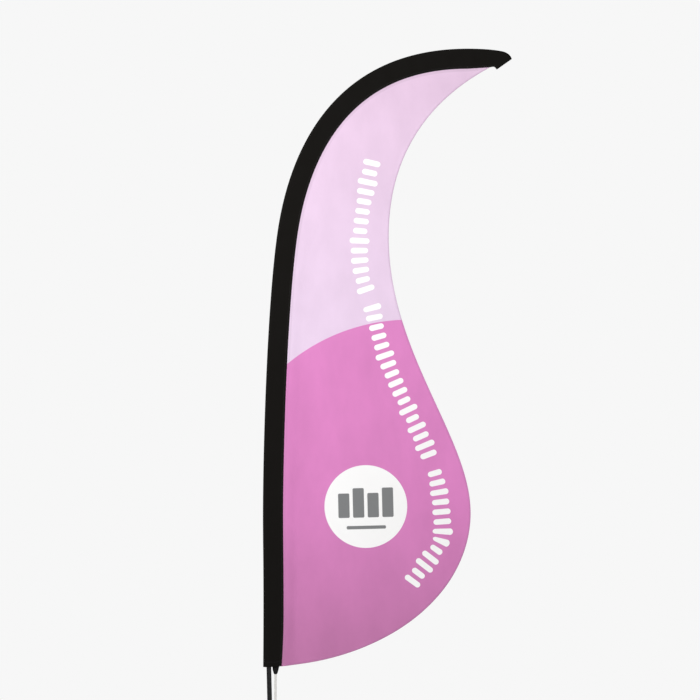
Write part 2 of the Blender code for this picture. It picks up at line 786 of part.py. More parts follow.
def add_rotor():
    axis = add_empty("rotor_axis", location=(0.0, 0.0, FLANGE_Z))
    top = ROTOR_TOP_Z - FLANGE_Z
    turned(
        "rotor_tube",
        [
            (ROTOR_RADIUS - ROTOR_TIP_CHAMFER[0], top),
            (ROTOR_RADIUS, top - ROTOR_TIP_CHAMFER[1]),
            (ROTOR_RADIUS, ROTOR_FLANGE),
            (SKIRT_RADIUS - FLANGE_CHAMFER, ROTOR_FLANGE),
            (SKIRT_RADIUS, ROTOR_FLANGE - FLANGE_CHAMFER),
            (SKIRT_RADIUS, -SKIRT_DROP),
            (SKIRT_RADIUS - SKIRT_WALL, -SKIRT_DROP),
            (SKIRT_RADIUS - SKIRT_WALL, 0.0),
            (ROTOR_BORE, 0.0),
            (ROTOR_BORE, top),
        ],
        ZINC,
        closed=True,
        parent=axis,
    )
    race_low = UPPER_RACE_Z - FLANGE_Z
    turned(
        "bearing_upper_race",
        ring_profile(RACE_INNER, RACE_OUTER, race_low, race_low + RACE_HEIGHT),
        BRIGHT_STEEL,
        closed=True,
        parent=axis,
    )
    for name, low in (("rotor_lower_bush", BUSH_INSET), ("rotor_upper_bush", top - BUSH_LENGTH)):
        turned(
            name,
            ring_profile(BUSH_INNER, BUSH_OUTER, low, low + BUSH_LENGTH),
            BRASS,
            closed=True,
            parent=axis,
        )


# ---------------------------------------------------------------------------------------------
# Pole
# ---------------------------------------------------------------------------------------------


def bent_tube(name, start, end, radius_at, wall, mat, parent, spacing, bevel):
    """Tube along the centreline: an uncapped curve, thickened inwards."""
    stations = stations_between(start, end, math.ceil((end - start) / spacing))
    curve = bpy.data.curves.new(name, "CURVE")
    curve.dimensions = "3D"
    curve.bevel_depth = 1.0
    curve.bevel_resolution = bevel
    curve.use_fill_caps = False
    points = [along_pole(s)[0] for s in stations]
    spline = add_spline(curve, [(point.x, 0.0, point.y) for point in points], cyclic=False)
    for target, s in zip(spline.points, stations):
        target.radius = radius_at(s)
    obj = add_object(name, mesh_from_curve(name, curve, Matrix.Identity(4)), mat, parent)
    solidify = obj.modifiers.new("wall", "SOLIDIFY")
    solidify.thickness = wall
    solidify.offset = -1.0
    solidify.use_even_offset = True
    return obj


def add_pole(mast):
    turned(
        "pole_base_section",
        ring_profile(
            POLE_BASE_RADIUS - POLE_WALL,
            POLE_BASE_RADIUS,
            POLE_FOOT_Z,
            POLE_JOINTS[0] - GAP / 2,
        ),
        CARBON,
        closed=True,
        parent=mast,
    )
    names = ("pole_lower_section", "pole_upper_section", "pole_tip_section")
    ends = (*POLE_JOINTS, POLE_END)
    for name, start, end, spacing in zip(names, ends, ends[1:], POLE_STATIONS):
        bent_tube(
            name,
            start + GAP / 2,
            end - GAP / 2,
            pole_radius,
            POLE_WALL,
            CARBON,
            mast,
            spacing,
            POLE_BEVEL,
        )
    for number, joint in enumerate(POLE_JOINTS, start=1):
        bent_tube(
            f"pole_ferrule_{number}",
            joint - FERRULE_HALF_LENGTH,
            joint + FERRULE_HALF_LENGTH,
            lambda s: pole_radius(s) + GAP + FERRULE_WALL,
            FERRULE_WALL,
            BRIGHT_STEEL,
            mast,
            FERRULE_HALF_LENGTH,
            FERRULE_BEVEL,
        )
    turned(
        "pole_end_ring",
        ring_profile(
            POLE_BASE_RADIUS + GAP,
            POLE_BASE_RADIUS + GAP + END_RING_WALL,
            POLE_FOOT_Z,
            POLE_FOOT_Z + END_RING_LENGTH,
            chamfer=END_RING_CHAMFER,
        ),
        BRIGHT_STEEL,
        closed=True,
        parent=mast,
    )
    end, direction = along_pole(POLE_END + GAP / 2)
    spigot = POLE_END_RADIUS - POLE_WALL - GAP
    dome_start = TIP_CAP_LENGTH - POLE_END_RADIUS
    dome = []
    for angle in TIP_CAP_ANGLES:
        out, up = math.sin(math.radians(angle)), math.cos(math.radians(angle))
        dome.append((POLE_END_RADIUS * out, dome_start + POLE_END_RADIUS * up))
    tip_cap = turned(
        "pole_tip_cap",
        dome + [(POLE_END_RADIUS, 0.0), (spigot, 0.0), (spigot, -TIP_CAP_SPIGOT), (0.0, -TIP_CAP_SPIGOT)],
        PLASTIC,
        closed=False,
        parent=mast,
        location=(end.x, 0.0, end.y),
        steps=HOLE_STEPS,
    )
    tip_cap.rotation_euler = (0.0, math.atan2(direction.x, direction.y), 0.0)


# ---------------------------------------------------------------------------------------------
# Flag: sleeve, tip pocket, panel and hem
# ---------------------------------------------------------------------------------------------


def add_sleeve(mast):
    sections = [sleeve_section(s) for s in SLEEVE_STATIONS]
    add_cloth_shell("pole_sleeve", loft(sections, cap_last=False), BLACK_CLOTH, mast)
    sections = [tip_section(*station) for station in TIP_POCKET]
    add_cloth_shell("sleeve_tip_pocket", loft(sections, cap_last=True), BLACK_CLOTH, mast)


def offset_inwards(points, distance):
    """The free edge moved into the panel, which is on the right of its travel down the flag."""
    moved = []
    for i, point in enumerate(points):
        travel = (points[min(i + 1, len(points) - 1)] - points[max(i - 1, 0)]).normalized()
        moved.append(point + Vector((travel.y, -travel.x)) * distance)
    return moved


def cut_at_seam(points):
    """The part of a line on the panel's side of the seam, and the seam's stretch at each end."""
    crossings = []
    for i, (start, end) in enumerate(zip(points, points[1:])):
        for k, (low, high) in enumerate(zip(SEAM_LINE, SEAM_LINE[1:])):
            hit = geometry.intersect_line_line_2d(start, end, low, high)
            if hit is not None:
                crossings.append((i, hit, k))
    (first, first_hit, tip_stretch), (last, last_hit, foot_stretch) = crossings[0], crossings[-1]
    line = [first_hit, *points[first + 1 : last + 1], last_hit]
    return line, foot_stretch, tip_stretch


def free_edge():
    """The free edge from tip to bottom, run on a little past both of its corners."""
    edge = bezier_chain(FREE_EDGE_KNOTS, edge_heading, FREE_EDGE_RESOLUTION)
    before = edge[0] + (edge[0] - edge[1]).normalized() * EDGE_OVERRUN
    after = edge[-1] + (edge[-1] - edge[-2]).normalized() * EDGE_OVERRUN
    return [before, *edge, after]


def add_flag_cloth(mast):
    edge = free_edge()
    outer, outer_foot, outer_tip = cut_at_seam(edge)
    inner, inner_foot, inner_tip = cut_at_seam(offset_inwards(edge, HEM_WIDTH))
    hem = [
        *outer,
        *SEAM_LINE[outer_foot + 1 : inner_foot + 1],
        *reversed(inner),
        *SEAM_LINE[inner_tip + 1 : outer_tip + 1],
    ]
    add_object("edge_hem", flat_mesh("edge_hem", [hem], HEM_THICKNESS, UPRIGHT), PINK_CLOTH, mast)

    free, foot, tip = cut_at_seam(offset_inwards(edge, HEM_WIDTH + GAP))
    panel = [*free, *SEAM_LINE[foot + 1 : tip + 1]]
    add_object("flag_panel", flat_mesh("flag_panel", [panel], PANEL_THICKNESS, UPRIGHT), PINK_CLOTH, mast)


# ---------------------------------------------------------------------------------------------
# Tensioner
# ---------------------------------------------------------------------------------------------


def add_tensioner(mast):
    tab = flat_mesh("tension_tab", [TAB_OUTLINE], TAB_THICKNESS, UPRIGHT)
    add_object("tension_tab", tab, BLACK_CLOTH, mast)
    tab_bottom = min(z for _, z in TAB_OUTLINE)
    half = ELASTIC_WIDTH / 2
    elastic = [
        (ELASTIC_TOP_X - half, tab_bottom - GAP),
        (PEG_X - half, HOOK_TOP + GAP),
        (PEG_X + half, HOOK_TOP + GAP),
        (ELASTIC_TOP_X + half, tab_bottom - GAP),
    ]
    add_object(
        "tension_elastic",
        flat_mesh("tension_elastic", [elastic], ELASTIC_THICKNESS, UPRIGHT),
        ELASTIC,
        mast,
    )

    slide = add_empty("collar_axis", location=(0.0, 0.0, PEG_Z), parent=mast)
    ear_outer = HOOK_THICKNESS / 2 + GAP + COLLAR_EAR_THICKNESS
    ear_inner = HOOK_THICKNESS / 2 + GAP
    open_angle = math.asin(ear_outer / COLLAR_RADIUS)
    slot_x = math.sqrt(COLLAR_RADIUS**2 - ear_inner**2)
    ring = circle_points(
        COLLAR_RADIUS, ROUND_STEPS, start=open_angle, end=2 * math.pi - open_angle, closed=False
    )
    collar_outline = ring + [
        (COLLAR_EAR_END, -ear_outer),
        (COLLAR_EAR_END, -ear_inner),
        (slot_x, -ear_inner),
        (slot_x, ear_inner),
        (COLLAR_EAR_END, ear_inner),
        (COLLAR_EAR_END, ear_outer),
    ]
    bore = circle_points(POLE_BASE_RADIUS + GAP, ROUND_STEPS)
    collar_mesh = flat_mesh("tension_collar", [collar_outline, bore], COLLAR_HEIGHT, Matrix.Identity(4))
    collar = add_object("tension_collar", collar_mesh, PLASTIC, slide)
    peg_hole = add_cutter(
        "peg_hole",
        cylinders("peg_hole", [(0.0, 0.0)], PEG_RADIUS + GAP, -PEG_HOLE_REACH, PEG_HOLE_REACH, HOLE_STEPS),
    )
    peg_hole.location = (PEG_X, 0.0, PEG_Z)
    peg_hole.rotation_euler = (math.radians(90.0), 0.0, 0.0)
    cut(collar, peg_hole)

    head_low = ear_outer + GAP
    head_high = head_low + PEG_HEAD_LENGTH
    peg = turned(
        "tension_peg",
        [
            (0.0, head_high),
            (PEG_HEAD_RADIUS - PEG_HEAD_CHAMFER, head_high),
            (PEG_HEAD_RADIUS, head_high - PEG_HEAD_CHAMFER),
            (PEG_HEAD_RADIUS, head_low),
            (PEG_RADIUS, head_low),
            (PEG_RADIUS, -head_low),
            (PEG_HEAD_RADIUS, -head_low),
            (PEG_HEAD_RADIUS, PEG_HEAD_CHAMFER - head_high),
            (PEG_HEAD_RADIUS - PEG_HEAD_CHAMFER, -head_high),
            (0.0, -head_high),
        ],
        ZINC,
        closed=False,
        parent=slide,
        location=(PEG_X, 0.0, 0.0),
        steps=HOLE_STEPS,
    )
    peg.rotation_euler = (math.radians(90.0), 0.0, 0.0)

    bottom = circle_points(HOOK_RADIUS, HOOK_STEPS, start=math.pi, end=2 * math.pi, closed=False)
    hook_outline = bottom + [(HOOK_RADIUS, HOOK_TOP - PEG_Z), (-HOOK_RADIUS, HOOK_TOP - PEG_Z)]
    eye = circle_points(PEG_RADIUS + GAP, HOLE_STEPS)
    hook_mesh = flat_mesh("tension_hook", [hook_outline, eye], HOOK_THICKNESS, UPRIGHT)
    add_object("tension_hook", hook_mesh, PLASTIC, slide, (PEG_X, 0.0, 0.0))


# ---------------------------------------------------------------------------------------------
# Assembly
# ---------------------------------------------------------------------------------------------

clear_scene()
parts = new_collection("teardrop_flag")
cutters = new_collection("cutters")

CARBON = material("black_pole", (0.012, 0.012, 0.013), 0.38)
BLACK_CLOTH = material("black_sleeve_cloth", (0.012, 0.011, 0.010), 0.85)
PINK_CLOTH = material("printed_flag_cloth", (0.70, 0.25, 0.60), 0.80)
ELASTIC = material("white_elastic", (0.82, 0.82, 0.80), 0.75)
STEEL_PAINT = material("painted_steel", (0.030, 0.031, 0.033), 0.45, 0.3)
ZINC = material("zinc_steel", (0.55, 0.56, 0.58), 0.38, 1.0)
BRIGHT_STEEL = material("bright_steel", (0.70, 0.70, 0.72), 0.22, 1.0)
BRASS = material("brass", (0.72, 0.52, 0.24), 0.35, 1.0)
RUBBER = material("rubber", (0.020, 0.020, 0.020), 0.80)
PLASTIC = material("black_plastic", (0.022, 0.022, 0.024), 0.50)

# Which way each leg points, as the signs of x and y.
LEG_SIDES = ((1, 1), (-1, 1), (-1, -1), (1, -1))

base_empty = add_empty("base")
add_pivots(base_empty)
add_legs(add_hub(base_empty))
add_spindle(base_empty)
add_cage()
add_rotor()
mast_empty = add_empty("mast_axis")
add_pole(mast_empty)
add_sleeve(mast_empty)
add_flag_cloth(mast_empty)
add_tensioner(mast_empty)
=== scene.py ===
"""Looks of the teardrop flag: cloth, print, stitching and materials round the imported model."""

import json
import math

import bmesh
import bpy
import numpy as np
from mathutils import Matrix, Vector


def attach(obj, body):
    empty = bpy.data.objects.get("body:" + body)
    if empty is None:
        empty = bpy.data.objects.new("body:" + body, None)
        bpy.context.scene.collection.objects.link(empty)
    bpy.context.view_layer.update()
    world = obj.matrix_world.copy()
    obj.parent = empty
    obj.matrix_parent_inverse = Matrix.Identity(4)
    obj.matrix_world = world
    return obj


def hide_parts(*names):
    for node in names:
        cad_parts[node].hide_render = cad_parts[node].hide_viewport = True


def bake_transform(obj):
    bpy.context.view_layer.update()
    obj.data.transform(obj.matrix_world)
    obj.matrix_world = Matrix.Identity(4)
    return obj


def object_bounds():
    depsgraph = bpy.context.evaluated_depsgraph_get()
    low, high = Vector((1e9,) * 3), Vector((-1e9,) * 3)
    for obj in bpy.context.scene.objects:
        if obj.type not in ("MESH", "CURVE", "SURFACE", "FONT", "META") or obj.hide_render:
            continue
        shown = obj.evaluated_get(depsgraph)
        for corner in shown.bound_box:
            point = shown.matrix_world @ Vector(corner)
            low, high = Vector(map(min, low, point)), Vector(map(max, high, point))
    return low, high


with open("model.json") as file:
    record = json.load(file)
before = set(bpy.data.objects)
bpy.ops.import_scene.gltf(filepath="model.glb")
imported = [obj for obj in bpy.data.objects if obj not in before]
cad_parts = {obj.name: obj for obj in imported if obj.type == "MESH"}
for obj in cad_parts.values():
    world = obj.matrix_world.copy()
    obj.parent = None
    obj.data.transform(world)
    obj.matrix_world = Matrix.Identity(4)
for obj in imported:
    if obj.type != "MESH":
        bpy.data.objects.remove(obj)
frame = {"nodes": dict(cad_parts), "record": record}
cad_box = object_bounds()

# ---- Driving dimensions, in metres, in the model's own frame ----

# Centreline of the pole: x, z, heading from the vertical (degrees), handle behind, handle ahead.
POLE_KNOTS = (
    (0.000, 0.000, 0.0, 0.000, 0.350),
    (0.000, 1.050, 0.0, 0.350, 0.231),
    (0.080, 2.179, 10.6, 0.262, 0.349),
    (0.880, 2.776, 97.9, 0.530, 0.000),
)
BEYOND_POLE = 0.080  # the sewn end of the sleeve goes on past the pole
CURVE_STEPS = 400  # points along each Bezier curve
SEAM_STEPS = 800
SEARCH_STEP = 0.003  # between the points that nearest() compares with
SEARCH_BATCH = 4000  # places that it handles at once
# Lengths along the pole and its radius there.
POLE_LENGTHS = (0.0, 0.87, 1.69, 2.50, 3.298)
POLE_RADII = (0.0085, 0.0085, 0.0064, 0.0055, 0.0035)

# Sleeve: its mouth and end are lengths along the pole.
SLEEVE_MOUTH = 0.616
SLEEVE_END = 3.270
SLEEVE_WIDTH = 0.0715
SLEEVE_NOSE = 0.0100  # pole's axis to the outer edge
SLEEVE_NOSE_FROM = 1.0
SLEEVE_NOSE_TAPER = 0.00114
SLEEVE_FLARE = 0.0103  # how much further out it is at the mouth
SLEEVE_FLARE_TOP = 1.10
SLEEVE_FLARE_POWER = 1.5
SLEEVE_NARROWING = 0.008
SLEEVE_NARROWING_FROM = 3.18
SLEEVE_NARROWING_POWER = 1.5
MOUTH_DRAW = 0.006  # how far the tensioner draws the seam in at the mouth
MOUTH_DRAW_TOP = 0.80
SLEEVE_CLOTH = 0.0009
SLEEVE_LIP = 0.0013  # half thickness where the sleeve is sewn to the panel
SLEEVE_ROOM = 0.0012  # pole to the outside of the cloth round it
MOUTH_HEM = 0.020  # height of the hem at the sleeve's mouth
MOUTH_HEM_RISE = 0.0006
MOUTH_HEM_STEP = 0.0015
MOUTH_FINE = 0.030  # rows of points are closer together over this height
MOUTH_ROW_STEP = 0.0015
SLEEVE_ROWS = 420
NOSE_POINTS = 10  # round the pole
SIDE_POINTS = 12  # from there to the seam
SIDE_FALL = 1.12  # how hollow the sides run from the pole to the seam
EDGE_CALM = 0.004  # creases and hems fade in over this distance from the outer fold
# Creases of the sleeve: wavelength, height, phase, and phase by side.
CREASES = ((0.083, 0.5, 0.3, 1.0), (0.047, 0.3, 1.9, 0.0), (0.31, 0.5, 0.0, 2.2))
CREASE_HEIGHT = 0.0009
CREASE_SLANT = 0.02
CREASE_BEND = (1.9, 2.7)  # they grow to their full height over these lengths
CREASE_LEAST = 0.35
# They fade in and out over these shares of the sleeve's width.
CREASE_START = (0.14, 0.40)
CREASE_END = (0.70, 0.98)
PULLS = ((0.0165, 0.35, 0.4), (0.0113, 0.25, 2.6))
PULL_HEIGHT = 0.00035
PULL_START = (0.80, 0.95)

# Free edge of the flag, from the tip corner to the bottom corner: x, z, heading of travel
# (degrees from +X, counter-clockwise), handle behind, handle ahead.
FREE_EDGE_KNOTS = (
    (0.8377, 2.7266, 212.0, 0.000, 0.060),
    (0.4620, 2.1124, 270.0, 0.445, 0.402),
    (0.7297, 1.1538, 270.0, 0.262, 0.288),
    (0.0504, 0.6164, 183.3, 0.389, 0.000),
)
PANEL_CLOTH = 0.0006
PANEL_TUCK = 0.0025  # how far the panel reaches into the sleeve's seam
HEM_WIDTH = 0.008
HEM_HALF = 0.0009
PANEL_ROWS = 380
PANEL_COLUMNS = 72
RELIEF = 0.008  # the most that the panel's folds stand off its plane
# First guess of the folds: waves along z + slope * x, and along x + slope * z.
RISING_SLOPE = 0.35
RISING_WAVES = ((0.62, 0.55, 0.4), (0.27, 0.22, 2.0))
CROSSING_SLOPE = -0.5
CROSSING_WAVE = (0.48, 0.35, 1.1)
WAVE_HEIGHT = 0.006
WAVE_GROWTH = (0.05, 0.50)  # distances from the pole over which they grow
FOLDS_FROM = 0.05  # they fade in over this distance from the seam
# Trial of the cloth that settles the folds.
SIM_ROWS = 120
SIM_COLUMNS = 28
SIM_FRAMES = 22
SIM_GRAVITY = (0.0, 0.15, -2.0)
SIM_CLOTH = {
    "quality": 6,
    "mass": 0.12,
    "tension_stiffness": 40.0,
    "compression_stiffness": 40.0,
    "shear_stiffness": 20.0,
    "bending_stiffness": 1.5,
    "air_damping": 3.0,
    "vertex_group_mass": "held",
}
SMOOTHING = 4  # passes over the relief once it is read at more places
# Small puckers at the seam and gathers at the hem, and how far in they reach.
PUCKER = 0.00045
PUCKERS = ((0.0165, 0.6, 0.4), (0.0113, 0.4, 2.6))
PUCKER_REACH = 0.016
PUCKER_START = (0.002, 0.006)
GATHERS = ((0.021, 0.5, 1.2), (0.0137, 0.4, 0.2))
GATHER_REACH = 0.013
# Section of the hem: shares of its width, and of its half thickness there.
HEM_SHARES = (-0.06, 0.10, 0.55, 0.90, 1.0)
HEM_HALVES = (0.30, 0.95, 1.0, 0.90, 0.35)

# Closed end of the sleeve: outer edge (s, u), seam edge (s, u) and half thickness, where s runs
# along the pole and u is the distance from its axis towards the panel.
TIP_POCKET = (
    ((3.2600, -0.0074), (3.2600, 0.0566), 0.0052),
    ((3.2703, -0.0073), (3.2703, 0.0558), 0.0051),
    ((3.2850, -0.0068), (3.2790, 0.0535), 0.0050),
    ((3.2980, -0.0062), (3.2860, 0.0522), 0.0050),
    ((3.3110, -0.0054), (3.2905, 0.0540), 0.0049),
    ((3.3230, -0.0034), (3.2937, 0.0570), 0.0046),
    ((3.3360, 0.0027), (3.2962, 0.0596), 0.0036),
    ((3.3440, 0.0112), (3.2977, 0.0606), 0.0024),
    ((3.3475, 0.0180), (3.2987, 0.0609), 0.0014),
)
TIP_NOSE = 0.0074
TIP_STATION = 0.01  # length of cloth between two stations, for the weave
TIP_OVERLAP = 0.0007  # the sewn end covers the end of the sleeve
TIP_RINGS = 96
TIP_SMOOTHING = 24

# Print, with the painted shade laid on it.
TONE_CIRCLE = ((0.5126, 1.1592), 0.6773)  # the two tones meet on an arc
# Each tone: two heights, and its colours there; orchid is darker towards the bottom and lilac towards the
# tip, painted shade where the light falls off.
ORCHID_WITH_PAINTED_SHADE = (0.65, 1.20, (0.495, 0.174, 0.368), (0.658, 0.214, 0.500))
LILAC_WITH_PAINTED_SHADE = (1.75, 2.72, (0.720, 0.568, 0.730), (0.676, 0.490, 0.646))
HEM_SHADE = (0.94, 0.95, 0.95)
ROUNDEL = ((0.358, 1.176), 0.147)
ROUNDEL_WHITE = (0.900, 0.895, 0.890)
EMBLEM_GREY = (0.195, 0.200, 0.203)
# Painted shade: a strip of the panel beside the seam is darkened, standing in for the shade of the seam's
# tension folds.
SEAM_PAINTED_SHADE = (0.20, 0.16, 0.19)
PAINTED_SHADE_STRENGTH = 0.13  # how strongly the painted shade darkens the panel beside the seam
# Half of the width over which the ink, the two tones and the seam's painted shade end.
INK_EDGE = 0.0005
TONE_EDGE = 0.0006
SEAM_EDGE = 0.001
BAND_KNOTS = (
    (0.507, 0.893, 52.8, 0.000, 0.223),
    (0.625, 1.174, 93.4, 0.159, 0.231),
    (0.402, 1.860, 99.3, 0.289, 0.109),
    (0.415, 2.421, 75.2, 0.440, 0.000),
)
BAND_RUNS = ((0.0, 0.455), (0.49, 1.085), (1.12, 1.61))  # stretches of bars along the band
BAR_PITCH = 0.035
BAR_RADIUS = 0.0100
BAR_HALF = (0.014, 0.027)  # shortest and longest, without the round ends

# Tensioner.
TAB_OUTLINE = ((0.6280, 0.0125, 0.0390), (0.6060, 0.0130, 0.0345), (0.5890, 0.0172, 0.0295))
TAB_HALF = 0.0012
TAB_ROWS = 40
TAB_END = (0.72, 0.28)  # share of its width at the lower end, and what it gains above
TAB_END_HEIGHT = 0.003
ELASTIC_TOP = (0.0232, 0.5887)
ELASTIC_BOTTOM = (0.0190, 0.4563)
ELASTIC_HALF = (0.0045, 0.0007)
ELASTIC_ROWS = 90
ELASTIC_WAVE = (0.017, 0.02, 0.0)  # its width swells a little
BAND_SIDES = 16
BAND_ROUNDING = (0.5, 0.8)  # powers that flatten a round section, across and in depth
RIB_PITCH = 0.0012
PICK_PITCH = 0.0009

# Details of the cloth and its sewing.
PAINTED_SHADE_STRIP = 0.0125  # strip of panel beside the sleeve that gets the painted shade of the seam's tension folds
KNIT_PITCH = 0.0009
KNIT_SHEEN = {"Sheen_Weight": 0.12, "Sheen_Roughness": 0.45, "Specular_IOR_Level": 0.25}
MOUTH_CORNER = 0.0035  # how far the mouth rises at the seam
SEAM_ROWS = (0.0025, 0.0065)  # rows of stitches, from the seam
STITCH_PITCH = 0.0042
STITCH_LENGTH = 0.0032
STITCH_RADIUS = 0.00042
STITCH_PROUD = 0.0001
STITCH_SIDES = 5
# Rings of a stitch, as shares of its length and radius, and the end that dips into the cloth.
STITCH_RINGS = ((-0.36, 0.75), (0.0, 1.0), (0.36, 0.75))
STITCH_END = (0.5, 0.0, -0.6)
SEAM_ROW_ENDS = (0.006, 0.004)  # from the sleeve's mouth and from its end
SEAM_ROW_STEPS = 900
MOUTH_ROW_INSET = 0.003
MOUTH_ROW_STEPS = 60
TIP_ROW_INSET = 0.004
TIP_ROW_RISE = 0.0006
HEM_ROW = (0.4, 0.6)  # weights of the hem's inner and outer edge
SIDES = ((-1, "front"), (1, "back"))
# Bars of the emblem and the line below them, from its middle: left, low, right, high.
EMBLEM_BARS = (
    (-0.098, -0.039, -0.058, 0.048),
    (-0.046, -0.039, -0.006, 0.066),
    (0.006, -0.039, 0.046, 0.048),
    (0.058, -0.039, 0.098, 0.066),
    (-0.070, -0.080, 0.070, -0.068),
)
EMBLEM_CORNER = 0.0048

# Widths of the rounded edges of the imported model's own pieces.
EDGE_WIDTHS = {"painted_steel": 0.0006, "rubber": 0.0010, "black_plastic": 0.0004}
EDGE_WIDTH = 0.0003  # of all the others
EDGE_ANGLE = 32.0  # degrees; only sharper edges are rounded
FLAT_ANGLE = 1.0  # degrees; facets that meet at less are one plane
SHARP_ANGLE = 50.0  # degrees; sharper edges of the cloth aren't shaded smooth
WELD_DISTANCE = 0.00001

# Usual range of one noise, and of a sum of two.
NOISE = (0.3, 0.7)
TWO_NOISES = (0.7, 1.3)
# Indices of the Mix node's colour sockets.
MIX_COLOURS = (6, 7)
MIX_RESULT = 2

# Stage.
FLOOR_CENTRE = (0.3, 0.0)
FLOOR_RADIUS = 2.2
FLOOR_FADE = 0.9  # from here outwards the floor fades into the backdrop
FLOOR_GAP = 0.0005
BACKDROP = (0.930, 0.930, 0.930)
AMBIENT = 0.13
# Each lamp: name, place, target, size and watts.
LAMPS = (
    ("key", (-1.6, -3.0, 3.4), (0.4, 0.0, 1.7), 1.8, 186.0),
    ("fill", (3.4, -3.6, 2.0), (0.3, 0.0, 1.4), 2.4, 44.0),
    ("behind", (1.8, 3.4, 3.4), (0.3, 0.0, 1.5), 2.4, 130.0),
    ("low_behind", (-2.6, 2.6, 1.6), (0.2, 0.0, 1.0), 2.0, 35.0),
)
CAMERA_PLACE = (0.315, -5.87, 1.7335)
CAMERA_ROLL = 1.37
LENS = 85.0
SENSOR = 36.0

# ---- Plane curves ----


def pole_heading(angle):
    return np.array((math.sin(math.radians(angle)), math.cos(math.radians(angle))))


def edge_heading(angle):
    return np.array((math.cos(math.radians(angle)), math.sin(math.radians(angle))))


def bezier_chain(knots, heading):
    """Points of a chain of Bezier curves through knots given with headings and handles."""
    stretches = []
    share = np.linspace(0.0, 1.0, CURVE_STEPS)[:, None]
    rest = 1.0 - share
    for (x0, z0, angle0, _, ahead), (x1, z1, angle1, behind, _) in zip(knots, knots[1:]):
        start, end = np.array((x0, z0)), np.array((x1, z1))
        first = start + heading(angle0) * ahead
        second = end - heading(angle1) * behind
        stretch = rest**3 * start + 3 * rest**2 * share * first
        stretch = stretch + 3 * rest * share**2 * second + share**3 * end
        stretches.append(stretch[1:] if stretches else stretch)
    return np.concatenate(stretches)


def unit(vectors):
    return vectors / np.linalg.norm(vectors, axis=-1, keepdims=True)


def lengths_along(points):
    """Length along a line from its first point to each of its points."""
    steps = np.linalg.norm(np.diff(points, axis=0), axis=1)
    return np.concatenate([[0.0], np.cumsum(steps)])


def read_at(s, lengths, values):
    """Columns of values, known at lengths, read at lengths s."""
    return np.stack([np.interp(s, lengths, column) for column in values.T], axis=-1)


class Line:
    """A plane curve as close points, read by the length along it."""

    def __init__(self, points):
        self.points = points
        self.lengths = lengths_along(points)
        self.length = self.lengths[-1]
        self.directions = unit(np.gradient(points, self.lengths, axis=0))

    def at(self, s):
        return read_at(s, self.lengths, self.points)

    def direction(self, s):
        return unit(read_at(s, self.lengths, self.directions))

    def nearest(self, places):
        """For each place the length along the line and the distance to its right."""
        lengths = np.arange(0.0, self.length, SEARCH_STEP)
        points, directions = self.at(lengths), self.direction(lengths)
        along, aside = np.empty(len(places)), np.empty(len(places))
        for first in range(0, len(places), SEARCH_BATCH):
            batch = slice(first, first + SEARCH_BATCH)
            part = places[batch]
            gaps = np.linalg.norm(part[:, None] - points[None], axis=2)
            i = gaps.argmin(axis=1)
            away, ahead = part - points[i], directions[i]
            along[batch] = lengths[i] + (away * ahead).sum(axis=1)
            aside[batch] = away[:, 0] * ahead[:, 1] - away[:, 1] * ahead[:, 0]
        return along, aside


def straight_on(points, heading, distance):
    """The points and one more, straight on from the last."""
    return np.concatenate([points, points[-1:] + heading * distance])


POLE_CURVE = bezier_chain(POLE_KNOTS, pole_heading)
POLE = Line(straight_on(POLE_CURVE, pole_heading(POLE_KNOTS[-1][2]), BEYOND_POLE))


def beside_pole(s, u):
    """Points (x, z) at lengths s and at distances u from the axis, towards the panel."""
    ahead = POLE.direction(s)
    return POLE.at(s) + np.stack([ahead[..., 1], -ahead[..., 0]], axis=-1) * np.asarray(u)[..., None]


def pole_radius(s):
    return np.interp(s, POLE_LENGTHS, POLE_RADII)


def sleeve_nose(s):
    """Distance from the pole's axis to the sleeve's outer edge."""
    nose = SLEEVE_NOSE - SLEEVE_NOSE_TAPER * np.maximum(s - SLEEVE_NOSE_FROM, 0.0)
    open_part = (SLEEVE_FLARE_TOP - s) / (SLEEVE_FLARE_TOP - SLEEVE_MOUTH)
    return nose + SLEEVE_FLARE * np.maximum(open_part, 0.0) ** SLEEVE_FLARE_POWER


def sleeve_seam(s):
    """Distance from the pole's axis to the seam between sleeve and panel."""
    share = (s - SLEEVE_NARROWING_FROM) / (SLEEVE_END - SLEEVE_NARROWING_FROM)
    narrowing = SLEEVE_NARROWING * np.maximum(share, 0.0) ** SLEEVE_NARROWING_POWER
    drawn = np.clip((MOUTH_DRAW_TOP - s) / (MOUTH_DRAW_TOP - SLEEVE_MOUTH), 0.0, 1.0)
    return SLEEVE_WIDTH - sleeve_nose(s) - narrowing - MOUTH_DRAW * drawn**2


SEAM_LENGTHS = np.linspace(SLEEVE_MOUTH, SLEEVE_END, SEAM_STEPS)
SEAM = Line(beside_pole(SEAM_LENGTHS, sleeve_seam(SEAM_LENGTHS) - PANEL_TUCK))
FREE_EDGE = Line(bezier_chain(FREE_EDGE_KNOTS, edge_heading)[::-1])
BAND = Line(bezier_chain(BAND_KNOTS, edge_heading))


def ripple(values, *waves):
    """A sum of sines, each given by its wavelength, height and phase."""
    return sum(high * np.sin(values * 2 * math.pi / long + phase) for long, high, phase in waves)


def fade(values, start, end):
    """Rises smoothly from 0 at start to 1 at end."""
    share = np.clip((values - start) / (end - start), 0.0, 1.0)
    return share * share * (3.0 - 2.0 * share)


def smooth_rows(values):
    """Draw each row towards its neighbours, in place, and leave the first and last."""
    values[1:-1] = (values[:-2] + 2 * values[1:-1] + values[2:]) / 4


# ---- Meshes ----


def upright(places, y):
    """Points (x, y, z) from places (x, z) in the flag's plane and their distances behind it."""
    return np.stack([places[..., 0], np.broadcast_to(y, places.shape[:-1]), places[..., 1]], axis=-1)


